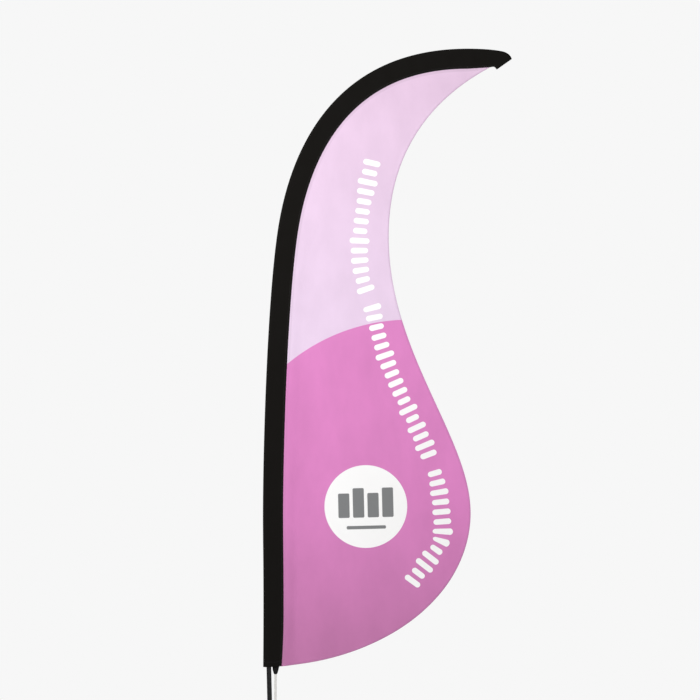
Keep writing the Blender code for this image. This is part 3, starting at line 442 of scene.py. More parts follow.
def grid_piece(name, rows, mat, closed=False, caps=(), maps=()):
    """Quads over rows of points. closed joins each row's ends, and caps names the rows that are
    shut, 0 or -1. maps are (name, coordinates) of UV maps, a pair of numbers for each point."""
    count, across = rows.shape[:2]
    columns = across if closed else across - 1
    i, j = np.meshgrid(np.arange(count - 1), np.arange(columns), indexing="ij")
    beyond = (j + 1) % across
    low, high = i * across, (i + 1) * across
    faces = np.stack([low + j, low + beyond, high + beyond, high + j], axis=-1).reshape(-1, 4).tolist()
    for row in caps:
        start = (row % count) * across
        faces.append(list(range(start, start + across)))
    mesh = bpy.data.meshes.new(name)
    mesh.from_pydata(rows.reshape(-1, 3).tolist(), [], faces)
    corners = np.empty(len(mesh.loops), int)
    mesh.loops.foreach_get("vertex_index", corners)
    for map_name, coordinates in maps:
        layer = mesh.uv_layers.new(name=map_name)
        pairs = coordinates.reshape(-1, 2)[corners]
        if closed:  # the faces that join a row's ends go on from its last point
            wrapped = np.zeros(len(corners), bool)
            last = np.flatnonzero(j.ravel() == across - 1)
            for k in (1, 2):
                wrapped[last * 4 + k] = True
            girth = coordinates[:, -1, 1] + (coordinates[:, -1, 1] - coordinates[:, -2, 1])
            pairs[wrapped, 1] = girth[corners[wrapped] // across]
        layer.uv.foreach_set("vector", pairs.astype(np.float32).ravel())
    return add_piece(name, mesh, mat)


def add_object(name, data):
    obj = bpy.data.objects.new(name, data)
    bpy.context.scene.collection.objects.link(obj)
    return obj


def add_piece(name, mesh, mat):
    """Put a mesh in the scene, with its faces turned outwards."""
    bm = bmesh.new()
    bm.from_mesh(mesh)
    bmesh.ops.recalc_face_normals(bm, faces=bm.faces)
    bm.to_mesh(mesh)
    bm.free()
    obj = add_object(name, mesh)
    mesh.materials.append(mat)
    mesh.shade_smooth()
    mesh.set_sharp_from_angle(angle=math.radians(SHARP_ANGLE))
    return obj


def solidify(obj, thickness, offset):
    modifier = obj.modifiers.new("cloth", "SOLIDIFY")
    modifier.thickness = thickness
    modifier.offset = offset


# ---- Materials ----


class Shader:
    """A material with one Principled shader, and short calls for the nodes that feed it."""

    def __init__(self, name, roughness, metallic=0.0, **fixed):
        self.material = bpy.data.materials.new(name)
        self.material.use_nodes = True
        self.tree = self.material.node_tree
        self.principled = self.tree.nodes["Principled BSDF"]
        self.principled.inputs["Roughness"].default_value = roughness
        self.principled.inputs["Metallic"].default_value = metallic
        for socket, value in fixed.items():
            self.principled.inputs[socket.replace("_", " ")].default_value = value

    def node(self, kind, outlet, values=(), **settings):
        made = self.tree.nodes.new(kind)
        for key, value in settings.items():
            setattr(made, key, value)
        for socket, value in dict(values).items():
            self.feed(made.inputs[socket], value)
        return made.outputs[outlet]

    def feed(self, socket, value):
        if isinstance(value, bpy.types.NodeSocket):
            self.tree.links.new(value, socket)
        else:
            socket.default_value = value

    def maths(self, operation, *values):
        return self.node("ShaderNodeMath", 0, dict(enumerate(values)), operation=operation)

    def vector(self, operation, *values):
        outlet = "Value" if operation in ("LENGTH", "DISTANCE") else "Vector"
        sockets = (0, "Scale") if operation == "SCALE" else (0, 1)
        return self.node("ShaderNodeVectorMath", outlet, zip(sockets, values), operation=operation)

    def uv(self, name):
        return self.node("ShaderNodeUVMap", "UV", uv_map=name)

    def place(self):
        return self.node("ShaderNodeTexCoord", "Object")

    def split(self, vector):
        made = self.tree.nodes.new("ShaderNodeSeparateXYZ")
        self.feed(made.inputs[0], vector)
        return made.outputs

    def noise(self, scale, detail=3.0, roughness=0.55, stretch=(1.0, 1.0, 1.0), vector=None):
        vector = vector or self.place()
        vector = self.vector("MULTIPLY", vector, stretch)
        values = {"Vector": vector, "Scale": scale, "Detail": detail, "Roughness": roughness}
        return self.node("ShaderNodeTexNoise", "Fac", values)

    def between(self, value, low, high, to_low, to_high):
        values = {"Value": value, "From Min": low, "From Max": high, "To Min": to_low, "To Max": to_high}
        return self.node("ShaderNodeMapRange", "Result", values, clamp=True)

    def blend(self, factor, first, second):
        made = self.tree.nodes.new("ShaderNodeMix")
        made.data_type = "RGBA"
        self.feed(made.inputs["Factor"], factor)
        for index, colour in zip(MIX_COLOURS, (first, second)):
            linked = isinstance(colour, bpy.types.NodeSocket)
            self.feed(made.inputs[index], colour if linked else (*colour, 1.0))
        return made.outputs[MIX_RESULT]

    def bump(self, height, distance):
        normal = self.node("ShaderNodeBump", "Normal", {"Height": height, "Distance": distance})
        self.feed(self.principled.inputs["Normal"], normal)

    def colour(self, value):
        self.feed(self.principled.inputs["Base Color"], value)

    def rough(self, noise, least, most, span=NOISE):
        self.feed(self.principled.inputs["Roughness"], self.between(noise, *span, least, most))

    def weave(self, vector, pitch):
        """Height of a plain weave: threads cross over and under each other."""
        x, y, _ = self.split(vector)
        return self.maths("MULTIPLY", self.wave(x, pitch), self.wave(y, pitch))

    def wave(self, value, pitch):
        return self.maths("SINE", self.maths("MULTIPLY", value, 2 * math.pi / pitch))


def printed_cloth():
    """Knitted polyester printed in two tones, with a roundel, an emblem and a band of bars, and painted
    shade over it: by height, in upright patches and beside the seam.
    """
    s = Shader("printed_cloth", 0.78, **KNIT_SHEEN)
    flat = s.uv("flat")
    ground = two_tones(s, flat)

    centre, radius = ROUNDEL
    roundel = s.maths("SUBTRACT", s.vector("DISTANCE", flat, (*centre, 0.0)), radius)
    white = printed(s, s.maths("MINIMUM", roundel, band_of_bars(s)))
    ground = s.blend(white, ground, ROUNDEL_WHITE)
    ground = s.blend(printed(s, emblem(s, flat, centre)), ground, EMBLEM_GREY)

    # Painted shade beside the seam, for the shade of its tension folds.
    from_seam, _, _ = s.split(s.uv("edges"))
    seam_end = (PAINTED_SHADE_STRIP - SEAM_EDGE, PAINTED_SHADE_STRIP + SEAM_EDGE)
    seam_painted_shade = s.between(from_seam, *seam_end, PAINTED_SHADE_STRENGTH, 0.0)
    s.colour(s.blend(seam_painted_shade, ground, SEAM_PAINTED_SHADE))
    s.rough(s.noise(30.0, vector=flat), 0.72, 0.84)
    loops = s.weave(flat, KNIT_PITCH)
    s.bump(s.maths("ADD", loops, s.noise(900.0, detail=2.0, vector=flat)), 0.00006)
    return s.material


def two_tones(s, flat):
    """The print's ground, with painted shade: each tone darkens where the light falls off, orchid towards
    the bottom and lilac towards the tip, and upright patches of painted shade stand in for soft folds.
    """
    _, height, _ = s.split(flat)
    tones = []
    # Painted shade: each tone darkens with height as the light falls off, orchid towards the bottom,
    # lilac towards the tip.
    for low, high, low_colour, high_colour in (ORCHID_WITH_PAINTED_SHADE, LILAC_WITH_PAINTED_SHADE):
        tones.append(s.blend(s.between(height, low, high, 0.0, 1.0), low_colour, high_colour))
    ground = s.blend(upper_tone(s, flat), *tones)
    # Painted shade: random upright patches, a little lighter and darker, standing in for the shading of
    # soft folds.
    painted_fold_shade = s.noise(5.0, detail=5.0, stretch=(2.2, 1.0, 1.0), vector=flat)
    return s.vector("SCALE", ground, s.between(painted_fold_shade, *NOISE, 0.955, 1.045))


def upper_tone(s, flat):
    """1 above the arc where the two tones of the print meet, and 0 below it."""
    centre, radius = TONE_CIRCLE
    _, height, _ = s.split(flat)
    distance = s.vector("DISTANCE", flat, (*centre, 0.0))
    beyond = s.between(distance, radius - TONE_EDGE, radius + TONE_EDGE, 0.0, 1.0)
    return s.maths("MULTIPLY", beyond, s.maths("GREATER_THAN", height, centre[1]))


def printed(s, distance):
    """1 inside a printed shape and 0 outside, from the distance to its outline."""
    return s.between(distance, -INK_EDGE, INK_EDGE, 1.0, 0.0)


def beyond_span(s, value, start, end, corner=0.0):
    """Distance past the span from start to end, drawn in by a round corner's radius."""
    away = s.maths("ABSOLUTE", s.maths("SUBTRACT", value, (start + end) / 2))
    return s.maths("SUBTRACT", away, (end - start) / 2 - corner)


def band_of_bars(s):
    """Distance to the nearest upright bar with round ends; the bars follow the band in runs."""
    along, aside, _ = s.split(s.uv("band"))
    cell = s.maths("FLOOR", s.maths("DIVIDE", along, BAR_PITCH))
    middle = s.maths("MULTIPLY", s.maths("ADD", cell, 0.5), BAR_PITCH)
    chance = s.node("ShaderNodeTexWhiteNoise", "Value", {"W": cell}, noise_dimensions="1D")
    half = s.between(chance, 0.0, 1.0, *BAR_HALF)
    beyond = s.maths("MAXIMUM", s.maths("SUBTRACT", s.maths("ABSOLUTE", aside), half), 0.0)
    sideways = s.maths("SUBTRACT", along, middle)
    square = s.maths("ADD", s.maths("POWER", sideways, 2.0), s.maths("POWER", beyond, 2.0))
    distance = s.maths("SUBTRACT", s.maths("SQRT", square), BAR_RADIUS)
    outside = 1.0
    for start, end in BAND_RUNS:
        outside = s.maths("MINIMUM", outside, beyond_span(s, along, start, end))
    return s.maths("MAXIMUM", distance, outside)


def emblem(s, flat, centre):
    """Distance to a plain mark: four upright bars of two heights over a thin line."""
    x, z, _ = s.split(s.vector("SUBTRACT", flat, (*centre, 0.0)))
    nearest = 1.0
    for left, low, right, high in EMBLEM_BARS:
        corner = []
        for value, start, end in ((x, left, right), (z, low, high)):
            corner.append(beyond_span(s, value, start, end, EMBLEM_CORNER))
        outside = [s.maths("POWER", s.maths("MAXIMUM", part, 0.0), 2.0) for part in corner]
        inside = s.maths("MINIMUM", s.maths("MAXIMUM", *corner), 0.0)
        distance = s.maths("ADD", s.maths("SQRT", s.maths("ADD", *outside)), inside)
        nearest = s.maths("MINIMUM", nearest, s.maths("SUBTRACT", distance, EMBLEM_CORNER))
    return nearest


def hem_cloth():
    """The printed cloth again, folded: its tones show, and no other print reaches the edge."""
    s = Shader("hem_cloth", 0.80, **KNIT_SHEEN)
    flat = s.uv("flat")
    mottle = s.noise(14.0, detail=4.0, vector=flat)
    s.colour(s.vector("MULTIPLY", two_tones(s, flat), HEM_SHADE))
    s.rough(mottle, 0.74, 0.86)
    s.bump(s.maths("ADD", s.weave(flat, KNIT_PITCH), s.noise(900.0, detail=2.0, vector=flat)), 0.00008)
    return s.material


def black_weave(name, pitch, light, rough, relief):
    """Black woven cloth or webbing, its threads along the piece's own length and width."""
    s = Shader(name, rough, Sheen_Weight=0.02, Sheen_Roughness=0.4, Specular_IOR_Level=0.08)
    flat = s.uv("flat")
    cloud = s.noise(11.0, detail=5.0, vector=flat)
    thread = s.between(s.weave(flat, pitch), -1.0, 1.0, 0.0, 1.0)
    dark = tuple(0.55 * value for value in light)
    s.colour(s.blend(s.maths("MULTIPLY", s.maths("ADD", cloud, thread), 0.5), dark, light))
    s.rough(cloud, rough - 0.06, rough + 0.06)
    s.bump(s.maths("ADD", thread, s.noise(1400.0, detail=2.0, vector=flat)), relief)
    return s.material


def white_elastic():
    s = Shader("white_elastic", 0.75, Sheen_Weight=0.2, Specular_IOR_Level=0.3)
    flat = s.uv("flat")
    length, width, _ = s.split(flat)
    ribs, picks = s.wave(width, RIB_PITCH), s.wave(length, PICK_PITCH)
    worn = s.noise(60.0, detail=4.0, vector=flat)
    s.colour(s.blend(worn, (0.62, 0.61, 0.58), (0.80, 0.79, 0.77)))
    s.rough(worn, 0.68, 0.84)
    s.bump(s.maths("ADD", ribs, s.maths("MULTIPLY", picks, 0.4)), 0.0001)
    return s.material


def thread(name, colour):
    s = Shader(name, 0.6, Sheen_Weight=0.2, Specular_IOR_Level=0.3)
    tone = s.noise(700.0, detail=2.0)
    s.colour(s.blend(tone, tuple(0.8 * value for value in colour), colour))
    s.rough(tone, 0.52, 0.70)
    s.bump(tone, 0.00005)
    return s.material


def fibre_pole():
    """Black fibre-reinforced tube: slanting wraps of tape under a satin lacquer."""
    s = Shader("fibre_pole", 0.35, Coat_Weight=0.25, Coat_Roughness=0.2, Specular_IOR_Level=0.35)
    x, y, z = s.split(s.place())
    turn = s.maths("ARCTAN2", y, x)
    climb = s.maths("MULTIPLY", z, 2 * math.pi / 0.018)
    wraps = s.maths("SINE", s.maths("ADD", climb, turn))
    grain = s.noise(180.0, detail=4.0, stretch=(1.0, 1.0, 0.12))
    shade = s.between(wraps, -1.0, 1.0, 0.2, 0.8)
    s.colour(s.blend(shade, (0.006, 0.006, 0.006), (0.013, 0.013, 0.014)))
    s.rough(grain, 0.30, 0.46)
    s.bump(s.maths("ADD", s.maths("MULTIPLY", wraps, 0.5), grain), 0.00005)
    return s.material


def turned_metal(name, dark, light, rough):
    """Metal with the fine rings of a lathe and a few duller patches."""
    s = Shader(name, rough, 1.0)
    rings = s.noise(420.0, detail=3.0, stretch=(0.12, 0.12, 1.0))
    patches = s.noise(38.0, detail=5.0)
    s.colour(s.blend(patches, dark, light))
    s.rough(s.maths("ADD", rings, patches), rough - 0.07, rough + 0.10, TWO_NOISES)
    s.bump(rings, 0.00003)
    return s.material


def zinc_plate():
    """Zinc plating: a fine spangle with duller patches."""
    s = Shader("zinc_plate", 0.4, 1.0)
    values = {"Vector": s.place(), "Scale": 240.0}
    spangle = s.node("ShaderNodeTexVoronoi", "Color", values, feature="F1")
    grey, _, _ = s.split(spangle)
    patches = s.noise(45.0, detail=5.0)
    mixed = s.maths("MULTIPLY", s.maths("ADD", grey, patches), 0.5)
    s.colour(s.blend(mixed, (0.42, 0.43, 0.44), (0.66, 0.67, 0.69)))
    s.rough(patches, 0.30, 0.52)
    s.bump(s.noise(500.0, detail=3.0), 0.00002)
    return s.material


def powder_coat():
    """Black powder coat: orange-peel skin, a little dust, and scuffs that are slightly paler."""
    s = Shader("powder_coat", 0.45, Specular_IOR_Level=0.4)
    skin = s.noise(650.0, detail=2.0)
    wear = s.noise(34.0, detail=6.0, roughness=0.7, stretch=(1.0, 1.0, 3.0))
    scuffs = s.between(wear, 0.60, 0.72, 0.0, 1.0)
    dust = s.noise(16.0, detail=4.0)
    coat = s.blend(dust, (0.014, 0.0145, 0.016), (0.026, 0.027, 0.029))
    s.colour(s.blend(scuffs, coat, (0.060, 0.060, 0.062)))
    s.rough(s.maths("ADD", dust, skin), 0.36, 0.56, TWO_NOISES)
    s.bump(skin, 0.00006)
    return s.material


def moulded(name, dark, light, rough, grain, relief):
    """Rubber or plastic from a spark-eroded mould."""
    s = Shader(name, rough, Specular_IOR_Level=0.35)
    cloud = s.noise(28.0, detail=5.0)
    pits = s.noise(grain, detail=2.0)
    s.colour(s.blend(cloud, dark, light))
    s.rough(s.maths("ADD", cloud, pits), rough - 0.08, rough + 0.10, TWO_NOISES)
    s.bump(pits, relief)
    return s.material


# ---- Flag: sleeve, tip pocket, panel and hem ----


def pocket_half(distance, nose, width, half):
    """Half thickness of a pocket at distances from its outer fold: round the pole, then straight
    to the seam."""
    round_part = half * np.sqrt(np.clip(1.0 - ((nose - distance) / nose) ** 2, 0.0, 1.0))
    share = np.clip((distance - nose) / (width - nose), 0.0, 1.0)
    flat_part = SLEEVE_LIP + (half - SLEEVE_LIP) * (1.0 - share) ** SIDE_FALL
    return np.where(distance < nose, round_part, flat_part)


def pocket_distances(nose, width):
    """Distances from the outer fold to the seam, closer together round the pole."""
    angles = np.linspace(0.0, math.pi / 2, NOSE_POINTS)
    bend = nose[:, None] * (1.0 - np.cos(angles))
    shares = np.linspace(0.0, 1.0, SIDE_POINTS + 1)[1:]
    return np.concatenate([bend, nose[:, None] + (width - nose)[:, None] * shares], axis=1)


def sleeve_relief(s, distance, width, side):
    """Soft creases between the pole and the seam, stronger round the bend."""
    across = distance / width
    window = fade(across, *CREASE_START) * (1.0 - fade(across, *CREASE_END))
    bend = CREASE_LEAST + (1.0 - CREASE_LEAST) * fade(s, *CREASE_BEND)
    slanted = s + side * CREASE_SLANT * across
    creases = ripple(slanted, *((long, high, phase + side * turn) for long, high, phase, turn in CREASES))
    pulls = ripple(s, *PULLS) * fade(across, *PULL_START)
    return CREASE_HEIGHT * bend * creases * window + PULL_HEIGHT * pulls


def sleeve_skin(s, distance, side):
    """Half thickness of the sleeve at lengths s and distances from its outer fold."""
    nose, seam = sleeve_nose(s), sleeve_seam(s)
    half = pocket_half(distance, nose, nose + seam, pole_radius(s) + SLEEVE_ROOM)
    top = SLEEVE_MOUTH + MOUTH_HEM
    hem = MOUTH_HEM_RISE * (1.0 - fade(s, top - MOUTH_HEM_STEP, top + MOUTH_HEM_STEP))
    lifted = fade(distance, 0.0, EDGE_CALM)
    return half + (hem + sleeve_relief(s, distance, nose + seam, side)) * lifted


def out_and_back(out, back):
    """Columns of one grid, and of the other in the opposite order without its first."""
    return np.concatenate([out, back[:, :0:-1]], axis=1)


def sewn_tube(name, fronts, backs, lengths, distance, width, mat, caps=()):
    """Cloth from its outer fold along the front to the seam, and along the back to the fold."""
    rows = out_and_back(fronts, backs)
    girth = out_and_back(distance, 2 * width[:, None] - distance)
    flat = np.stack([out_and_back(lengths, lengths), girth], axis=-1)
    piece = grid_piece(name, rows, mat, closed=True, caps=caps, maps=[("flat", flat)])
    solidify(piece, SLEEVE_CLOTH, -1.0)
    return piece


def make_sleeve(mat):
    fine_top = SLEEVE_MOUTH + MOUTH_FINE
    fine = np.arange(SLEEVE_MOUTH, fine_top, MOUTH_ROW_STEP)
    s = np.concatenate([fine, np.linspace(fine_top, SLEEVE_END, SLEEVE_ROWS)])
    nose, width = sleeve_nose(s), sleeve_nose(s) + sleeve_seam(s)
    distance = pocket_distances(nose, width)
    lengths = np.broadcast_to(s[:, None], distance.shape)
    corner = MOUTH_CORNER * fade(distance, width[:, None] - 2 * MOUTH_CORNER, width[:, None]) ** 2
    lengths = lengths + corner * (1.0 - fade(lengths, SLEEVE_MOUTH, fine_top))
    places = beside_pole(lengths, distance - nose[:, None])
    fronts, backs = (upright(places, side * sleeve_skin(lengths, distance, side)) for side in (-1, 1))
    return sewn_tube("sleeve_cloth", fronts, backs, lengths, distance, width, mat)


def make_tip_pocket(mat):
    """The sewn end of the sleeve, with its notch and small pointed tab."""
    share = np.linspace(0.0, len(TIP_POCKET) - 1, TIP_RINGS)
    stations = np.array([(*outer, *seam, half) for outer, seam, half in TIP_POCKET])
    smooth = read_at(share, np.arange(len(stations)), stations)
    for _ in range(TIP_SMOOTHING):
        smooth_rows(smooth)
    outer, seam, half = beside_pole(*smooth[:, :2].T), beside_pole(*smooth[:, 2:4].T), smooth[:, 4]
    width = np.linalg.norm(seam - outer, axis=1)
    nose = np.full(len(share), TIP_NOSE)
    distance = pocket_distances(nose, width)
    places = outer[:, None] + unit(seam - outer)[:, None] * distance[..., None]
    thick = pocket_half(distance, nose[:, None], width[:, None], half[:, None])
    thick = thick + TIP_OVERLAP * fade(distance, 0.0, EDGE_CALM)
    fronts, backs = upright(places, -thick), upright(places, thick)
    lengths = np.broadcast_to(share[:, None] * TIP_STATION, distance.shape)
    return sewn_tube("tip_pocket_cloth", fronts, backs, lengths, distance, width, mat, caps=(-1,))


def panel_lines(share):
    """Where each row of the panel starts at the seam, meets the hem and ends at the free edge."""
    seam = SEAM.at(share * SEAM.length)
    edge = FREE_EDGE.at(share * FREE_EDGE.length)
    ahead = FREE_EDGE.direction(share * FREE_EDGE.length)
    length = np.linalg.norm(seam - edge, axis=1)
    across = (seam - edge) / length[:, None]
    slant = np.abs(across[:, 0] * ahead[:, 1] - across[:, 1] * ahead[:, 0])
    hem = np.minimum(HEM_WIDTH / slant, length / 2)
    return seam, edge + across * hem[:, None], edge


def panel_places(rows, columns):
    seam, hem, edge = panel_lines(np.linspace(0.0, 1.0, rows))
    across = np.linspace(0.0, 1.0, columns - 1)[:, None]
    places = seam[:, None] + (hem - seam)[:, None] * across
    return np.concatenate([places, edge[:, None]], axis=1)


def gentle_waves(places):
    """A first guess of how the cloth stands off its plane, growing away from the seam."""
    x, z = places[..., 0], places[..., 1]
    away = fade(x - POLE.at(z)[..., 0], *WAVE_GROWTH)
    waves = ripple(z + RISING_SLOPE * x, *RISING_WAVES) + ripple(x + CROSSING_SLOPE * z, CROSSING_WAVE)
    return WAVE_HEIGHT * waves * away


def settled_relief():
    """Let the cloth hang from its seam, and read how far it stands off its plane."""
    places = panel_places(SIM_ROWS, SIM_COLUMNS)
    relief = gentle_waves(places)
    scene = bpy.context.scene
    cloth_piece = grid_piece("cloth_trial", upright(places, relief), None)
    held = cloth_piece.vertex_groups.new(name="held")
    held.add([row * SIM_COLUMNS for row in range(SIM_ROWS)], 1.0, "REPLACE")
    cloth = cloth_piece.modifiers.new("cloth", "CLOTH")
    for key, value in SIM_CLOTH.items():
        setattr(cloth.settings, key, value)
    cloth.collision_settings.use_collision = False
    cloth.point_cache.frame_start = 1
    cloth.point_cache.frame_end = SIM_FRAMES
    usual_gravity = scene.gravity.copy()
    scene.gravity = SIM_GRAVITY
    for number in range(1, SIM_FRAMES + 1):
        scene.frame_set(number)
    evaluated = cloth_piece.evaluated_get(bpy.context.evaluated_depsgraph_get())
    settled = evaluated.to_mesh()
    found = np.empty(len(settled.vertices) * 3, np.float32)
    settled.vertices.foreach_get("co", found)
    evaluated.to_mesh_clear()
    bpy.data.objects.remove(cloth_piece, do_unlink=True)
    scene.gravity = usual_gravity
    scene.frame_set(1)
    relief = found.reshape(SIM_ROWS, SIM_COLUMNS, 3)[..., 1].astype(float)
    return relief * min(1.0, RELIEF / np.abs(relief).max())


def finer(values, rows, columns):
    """A grid of values read at more rows and columns, smoothed a little."""
    for count in (rows, columns):
        new, old = np.linspace(0.0, 1.0, count), np.linspace(0.0, 1.0, len(values))
        values = read_at(new, old, values).T
    for _ in range(SMOOTHING):
        smooth_rows(values)
        smooth_rows(values.T)
    return values


def make_panel(cloth, hem_material):
    places = panel_places(PANEL_ROWS, PANEL_COLUMNS)
    flat_places = places.reshape(-1, 2)
    seam_along, from_seam = SEAM.nearest(flat_places)
    edge_along, from_edge = FREE_EDGE.nearest(flat_places)
    from_edge = np.abs(from_edge)
    relief = finer(settled_relief(), PANEL_ROWS, PANEL_COLUMNS).ravel()
    puckers = ripple(seam_along, *PUCKERS) * np.exp(-((from_seam / PUCKER_REACH) ** 2))
    gathers = ripple(edge_along, *GATHERS) * np.exp(-((from_edge / GATHER_REACH) ** 2))
    small = PUCKER * (puckers * fade(from_seam, *PUCKER_START) + gathers)
    relief = relief * fade(from_seam, 0.0, FOLDS_FROM) + small
    relief = relief.reshape(places.shape[:2])
    band_along, band_aside = BAND.nearest(flat_places)
    shape = (*places.shape[:2], 2)
    maps = [
        ("flat", places),
        ("band", np.stack([band_along, band_aside], axis=-1).reshape(shape)),
        ("edges", np.stack([from_seam, from_edge], axis=-1).reshape(shape)),
    ]
    panel = grid_piece("panel_cloth", upright(places, relief), cloth, maps=maps)
    solidify(panel, PANEL_CLOTH, 0.0)
    edge_places, edge_relief = places[:, -2:], relief[:, -2:]
    hem = make_hem(edge_places, edge_relief, hem_material)
    return panel, hem, edge_places, edge_relief


def make_hem(places, relief, mat):
    """The folded free edge: a flat band with a round outer fold."""
    inner, edge = places[:, :1], places[:, 1:]
    shares, halves = np.array(HEM_SHARES), np.array(HEM_HALVES) * HEM_HALF
    shares, halves = np.concatenate([shares, shares[::-1]]), np.concatenate([-halves, halves[::-1]])
    points = inner + (edge - inner) * shares[:, None]
    depth = relief[:, :1] + (relief[:, 1:] - relief[:, :1]) * shares + halves
    rows = upright(points, depth)
    return grid_piece("hem_cloth", rows, mat, closed=True, caps=(0, -1), maps=[("flat", points)])


# ---- Stitching ----


def stitching(name, line, side, mat):
    """Raised stitches along a line of points (x, y, z), on the front (side -1) or back (1)."""
    lengths = lengths_along(line)
    centres = np.arange(STITCH_PITCH, lengths[-1] - STITCH_PITCH, STITCH_PITCH)
    heads, tails = (read_at(centres + end * STITCH_LENGTH / 2, lengths, line) for end in (1, -1))
    ahead = unit(heads - tails)
    aside = unit(np.cross(ahead, (0.0, float(side), 0.0)))
    up = np.cross(aside, ahead)
    count = STITCH_SIDES
    turns = np.arange(count) * 2 * math.pi / count
    template = [(-STITCH_END[0], *STITCH_END[1:])]
    for station, girth in STITCH_RINGS:
        template += [(station, girth * math.cos(turn), girth * math.sin(turn)) for turn in turns]
    template.append(STITCH_END)
    template = np.array(template) * (STITCH_LENGTH, STITCH_RADIUS, STITCH_RADIUS)
    points = read_at(centres, lengths, line)[:, None] + sum(
        template[None, :, k : k + 1] * axis[:, None] for k, axis in enumerate((ahead, aside, up))
    )
    end = len(template) - 1  # a stitch's faces: both ends, then the bands between its rings
    pairs = [(k, (k + 1) % count) for k in range(count)]
    stitch = [[0, 1 + b, 1 + a] for a, b in pairs]
    stitch += [[end, end - count + a, end - count + b] for a, b in pairs]
    for low in (1, 1 + count):
        stitch += [[low + a, low + b, low + count + b, low + count + a] for a, b in pairs]
    starts = range(0, len(centres) * len(template), len(template))
    faces = [[start + corner for corner in face] for start in starts for face in stitch]
    mesh = bpy.data.meshes.new(name)
    mesh.from_pydata(points.reshape(-1, 3).tolist(), [], faces)
    return add_piece(name, mesh, mat)


def on_sleeve(s, inset, side):
    """Points on one side of the sleeve, at an inset from its seam."""
    s = np.asarray(s, float)
    width = sleeve_nose(s) + sleeve_seam(s)
    distance = width - inset
    places = beside_pole(s, distance - sleeve_nose(s))
    return upright(places, side * (sleeve_skin(s, distance, side) + STITCH_PROUD))


def sleeve_stitches(mat):
    """Twin rows down the seam and one round the mouth's hem, front and back."""
    made = []
    s = np.linspace(SLEEVE_MOUTH + SEAM_ROW_ENDS[0], SLEEVE_END - SEAM_ROW_ENDS[1], SEAM_ROW_STEPS)
    for side, word in SIDES:
        for number, inset in enumerate(SEAM_ROWS, start=1):
            name = f"seam_stitches_{word}_{number}"
            made.append(stitching(name, on_sleeve(s, inset, side), side, mat))
        level = SLEEVE_MOUTH + MOUTH_HEM - MOUTH_ROW_INSET
        width = float(sleeve_nose(level) + sleeve_seam(level))
        insets = np.linspace(MOUTH_ROW_INSET, width - MOUTH_ROW_INSET, MOUTH_ROW_STEPS)
        points = on_sleeve(np.full(MOUTH_ROW_STEPS, level), insets, side)
        made.append(stitching(f"mouth_stitches_{word}", points, side, mat))
    return made


def paired_rows(name, places, middle, rise, mat):
    """A row of stitches on the front and one on the back, off the cloth's middle by a rise."""
    made = []
    for side, word in SIDES:
        points = upright(places, middle + side * rise)
        made.append(stitching(f"{name}_{word}", points, side, mat))
    return made


def tip_stitches(mat):
    """One row along the sewn edge of the sleeve's closed end, front and back."""
    outer, seam = (beside_pole(*np.array([station[k] for station in TIP_POCKET]).T) for k in (0, 1))
    places = seam + unit(outer - seam) * TIP_ROW_INSET
    rise = SLEEVE_LIP + TIP_OVERLAP + STITCH_PROUD + TIP_ROW_RISE
    return paired_rows("tip_stitches", places, 0.0, rise, mat)


def hem_stitches(places, relief, mat):
    """One row along the folded hem, front and back."""
    inner, outer = HEM_ROW
    places = places[:, 0] * inner + places[:, 1] * outer
    relief = relief[:, 0] * inner + relief[:, 1] * outer
    return paired_rows("hem_stitches", places, relief, HEM_HALF + STITCH_PROUD, mat)


# ---- Tensioner: webbing tab and elastic ----


def flat_band(name, middles, half_widths, half_thick, mat):
    """A flat band with round edges, through middles (x, y, z), as wide as half_widths say."""
    turns = np.arange(BAND_SIDES) * 2 * math.pi / BAND_SIDES
    rounds = zip((np.cos(turns), np.sin(turns)), BAND_ROUNDING)
    across, depth = (np.sign(part) * np.abs(part) ** power for part, power in rounds)
    rows = np.repeat(middles[:, None], len(turns), axis=1)
    rows[..., 0] += half_widths[:, None] * across
    rows[..., 1] += half_thick * depth
    lengths = np.broadcast_to(middles[:, 2:3], rows.shape[:2])
    flat = np.stack([lengths, rows[..., 0]], axis=-1)
    return grid_piece(name, rows, mat, closed=True, caps=(0, -1), maps=[("flat", flat)])


def make_tab(mat):
    z, left, right = (np.array([row[k] for row in TAB_OUTLINE])[::-1] for k in range(3))
    levels = np.linspace(z[0], z[-1], TAB_ROWS)
    left, right = np.interp(levels, z, left), np.interp(levels, z, right)
    end, widening = TAB_END
    half = (right - left) / 2 * (end + widening * fade(levels, z[0], z[0] + TAB_END_HEIGHT))
    middles = np.stack([(left + right) / 2, np.zeros(TAB_ROWS), levels], axis=-1)
    return flat_band("tension_tab_webbing", middles, half, TAB_HALF, mat)


def make_elastic(mat):
    share = np.linspace(0.0, 1.0, ELASTIC_ROWS)
    x, z = (top + (bottom - top) * share for top, bottom in zip(ELASTIC_TOP, ELASTIC_BOTTOM))
    middles = np.stack([x, np.zeros(ELASTIC_ROWS), z], axis=-1)
    half = ELASTIC_HALF[0] * (1.0 + ripple(z, ELASTIC_WAVE))
    return flat_band("elastic_band", middles, half, ELASTIC_HALF[1], mat)


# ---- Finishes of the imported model's own pieces ----


def soften(node, width):
    """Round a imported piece's edges, and let its facets shade as smooth surfaces."""
    weld = node.modifiers.new("weld", "WELD")
    weld.merge_threshold = WELD_DISTANCE
    plane = node.modifiers.new("plane", "DECIMATE")
    plane.decimate_type = "DISSOLVE"
    plane.angle_limit = math.radians(FLAT_ANGLE)
    bevel = node.modifiers.new("edges", "BEVEL")
    bevel.width = width
    bevel.segments = 2
    bevel.limit_method = "ANGLE"
    bevel.angle_limit = math.radians(EDGE_ANGLE)
    node.data.shade_smooth()
    normals = node.modifiers.new("normals", "WEIGHTED_NORMAL")
    normals.weight = 60


